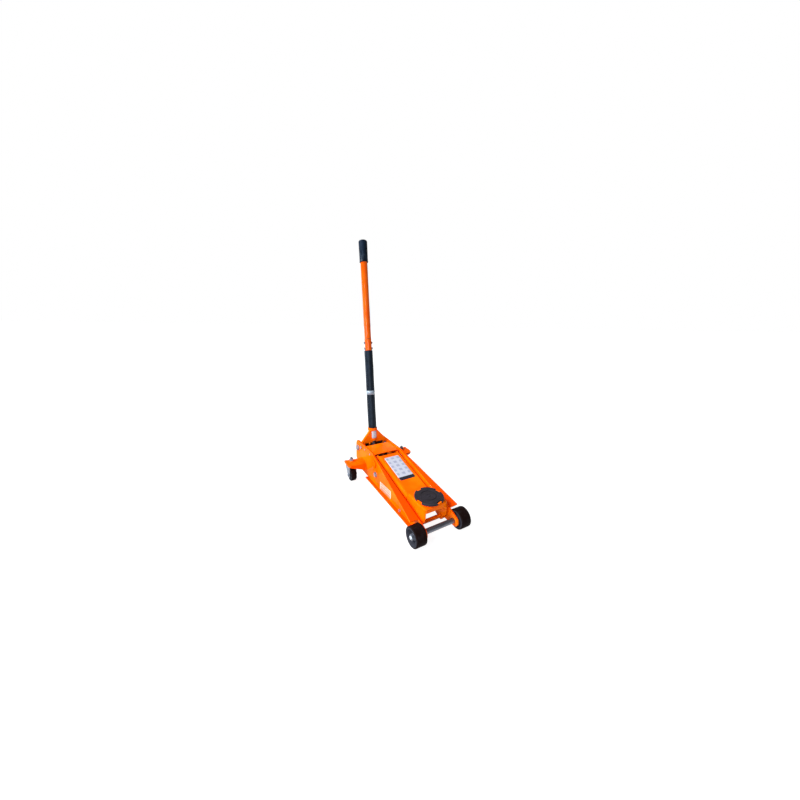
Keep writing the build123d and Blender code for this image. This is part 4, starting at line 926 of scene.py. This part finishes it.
socket_r = 0.0225
gusset_front = 0.016
seam = math.sqrt(socket_r ** 2 - gusset_front ** 2)
socket_bead = 0.0022
socket_bead_ends = (0.040, 0.094)
welded(
    "socket_welds",
    [
        [on_handle(along, gusset_front + 0.0003, x) for along in socket_bead_ends]
        for x in (-seam, seam)
    ],
    socket_bead,
    weld_orange,
    "handle_yoke",
    seed=5,
)

# ---------------------------------------------------------------- stickers
arm_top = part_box("lift_arm")[1].z
label_front = axle_middle.y + 0.226
label_back = axle_middle.y + 0.384
label_long = label_back - label_front
label_half = 0.0395
piece(
    "arm_label",
    laid_film(
        "arm_label",
        "lift_arm",
        lambda u, v: Vector(
            (label_half * (2 * u - 1), label_front + label_long * v, arm_top + 0.05)
        ),
        Vector((0, 0, -1)),
        (2 * label_half, label_long),
        (24, 48),
        corner=0.005,
    ),
    arm_film,
    "lift_arm",
)

socket_label_foot = 0.052
socket_label_high = 0.040
socket_label_wide = 0.028
piece(
    "socket_label",
    laid_film(
        "socket_label",
        "handle_yoke",
        lambda u, v: on_handle(
            socket_label_foot + socket_label_high * v, 0.06, socket_label_wide * (u - 0.5)
        ),
        -handle_front,
        (socket_label_wide, socket_label_high),
        (24, 12),
        corner=0.002,
    ),
    socket_film,
    "handle_yoke",
)

plate_label_start = 0.2455
plate_label_foot = 0.031
plate_label_drop = 0.006
plate_label_long = 0.104
plate_label_high = 0.038
for side, sign in (("left", -1), ("right", 1)):
    piece(
        f"plate_label_{side}",
        laid_film(
            f"plate_label_{side}",
            f"side_plate_{side}",
            lambda u, v: behind(
                plate_label_start + plate_label_long * u,
                sign * 0.3,
                plate_label_foot - plate_label_drop * u + plate_label_high * v,
            ),
            Vector((-sign, 0, 0)),
            (plate_label_long, plate_label_high),
            (30, 12),
        ),
        plate_film,
        "frame",
    )

band_up = 0.185
band_width = 0.022
band_sunk = 0.0002
band_proud = 0.0003
band_low = sleeve_low + band_up
band_high = band_low + band_width
band_profile = [
    (sleeve_r - band_sunk, band_low), (sleeve_r + band_proud, band_low),
    (sleeve_r + band_proud, band_high), (sleeve_r - band_sunk, band_high),
]
band_mesh = turned_mesh("sleeve_band", band_profile, handle_foot, handle_line, 72)
band_map = band_mesh.uv_layers.new(name="UVMap")
for face in band_mesh.polygons:
    for loop_index in face.loop_indices:
        offset = band_mesh.vertices[band_mesh.loops[loop_index].vertex_index].co - handle_foot
        along = offset.dot(handle_line)
        spoke = offset - handle_line * along
        angle = math.atan2(spoke.x, spoke.dot(handle_front))
        band_map.data[loop_index].uv = (
            angle / math.tau + 0.5,
            (along - band_low) / (band_high - band_low),
        )
piece("sleeve_band", band_mesh, band_film, "handle")

# ---------------------------------------------------------------- floor, light, camera
floor_reach = 120.0
floor_drop = 0.0003
floor_shape = bmesh.new()
floor_shape.faces.new([
    floor_shape.verts.new((x * floor_reach, y * floor_reach, -floor_drop))
    for x, y in ((-1, -1), (1, -1), (1, 1), (-1, 1))
])
floor_mesh = bpy.data.meshes.new("studio_floor")
floor_shape.to_mesh(floor_mesh)
floor_shape.free()
studio = Finish(
    "pale_studio_floor", {"IOR": 1.4, "Specular IOR Level": 0.1, "Emission Strength": 0.92}
)
studio_noise = studio.noise(3.0, 2.0)
drift = studio.step(studio_noise, 0.3, 0.7)
studio.give(
    Base_Color=studio.mix(drift, colour("8E8E8E"), colour("949494")),
    Emission_Color=studio.mix(drift, colour("FAFAFA"), colour("FFFFFF")),
    Roughness=studio.step(studio_noise, 0.3, 0.7, 0.75, 0.85),
)
floor_mesh.materials.append(studio.material)
floor = bpy.data.objects.new("studio_floor", floor_mesh)
bpy.context.scene.collection.objects.link(floor)
floor.visible_diffuse = False  # its glow would light the undersides


def soft_light(name, place, target, width, height, power, tone=(1, 1, 1)):
    """Rectangular soft light that shines from place toward target."""
    data = bpy.data.lights.new(name, "AREA")
    data.shape = "RECTANGLE"
    data.size = width
    data.size_y = height
    data.energy = power
    data.color = tone
    lamp = bpy.data.objects.new(name, data)
    lamp.location = place
    lamp.rotation_euler = (Vector(target) - Vector(place)).to_track_quat("-Z", "Y").to_euler()
    lamp.visible_camera = False
    bpy.context.scene.collection.objects.link(lamp)


cool = (0.72, 0.86, 1.0)
cold = (0.6, 0.8, 1.0)
low_middle = (0, 0.1, 0.1)
# Each light's name, place, target, width, height, power and tone.
soft_light("left_strip", (-2.0, -1.2, 0.9), (0, 0.1, 0.4), 0.4, 1.8, 36, cool)
soft_light("left_softbox", (-2.4, 0.6, 0.7), low_middle, 1.4, 1.0, 5)
soft_light("front_softbox", (-1.1, -2.3, 0.5), (0, 0.0, 0.3), 0.7, 1.4, 25)
soft_light("back_fill", (1.9, 2.2, 1.0), low_middle, 1.4, 1.0, 6)
soft_light("rim_strip", (-1.4, 2.0, 0.5), (0, 0.25, 0.7), 0.5, 1.8, 30, cold)

window_power = 4.4
window_spread = math.radians(28)
window_fall = Vector((0.66, -0.18, -0.72))
sky_data = bpy.data.lights.new("high_window", "SUN")
sky_data.energy = window_power
sky_data.angle = window_spread
sky = bpy.data.objects.new("high_window", sky_data)
sky.rotation_euler = window_fall.to_track_quat("-Z", "Y").to_euler()
bpy.context.scene.collection.objects.link(sky)

room_light = 0.22  # what the white room gives the part; it is seen at full strength
world = bpy.data.worlds.new("studio_air")
world.use_nodes = True
air = world.node_tree
seen = air.nodes.new("ShaderNodeLightPath")
strength = air.nodes.new("ShaderNodeMapRange")
strength.inputs["To Min"].default_value = room_light
strength.inputs["To Max"].default_value = 1.0
air.links.new(seen.outputs["Is Camera Ray"], strength.inputs["Value"])
air.links.new(strength.outputs[0], air.nodes["Background"].inputs["Strength"])
air.nodes["Background"].inputs["Color"].default_value = (1.0, 1.0, 1.0, 1.0)
bpy.context.scene.world = world
bpy.context.scene.view_settings.view_transform = "Standard"

frame_side = 800
focal_length = 281.84  # in the same unit as the frame's side
centre_across = 387.95
centre_down = 382.03
sensor = 36.0
turn = math.radians(28.83)
pitch = math.radians(11.80)
roll = math.radians(0.82)
ahead = Vector(
    (math.cos(pitch) * math.sin(turn), math.cos(pitch) * math.cos(turn), -math.sin(pitch))
)
level = Vector((math.cos(turn), -math.sin(turn), 0))
upward = level.cross(ahead)
right = level * math.cos(roll) + upward * math.sin(roll)
upright = right.cross(ahead)
view = Matrix((right, upright, -ahead)).transposed().to_4x4()
view.translation = behind(-0.7372, -0.6415, 0.8064)
camera_data = bpy.data.cameras.new("studio_camera")
camera_data.sensor_width = sensor
camera_data.lens = sensor * focal_length / frame_side
camera_data.shift_x = (frame_side / 2 - centre_across) / frame_side
camera_data.shift_y = (centre_down - frame_side / 2) / frame_side
camera_data.clip_end = 60.0
camera = bpy.data.objects.new("studio_camera", camera_data)
camera.matrix_world = view
bpy.context.scene.collection.objects.link(camera)
bpy.context.scene.camera = camera
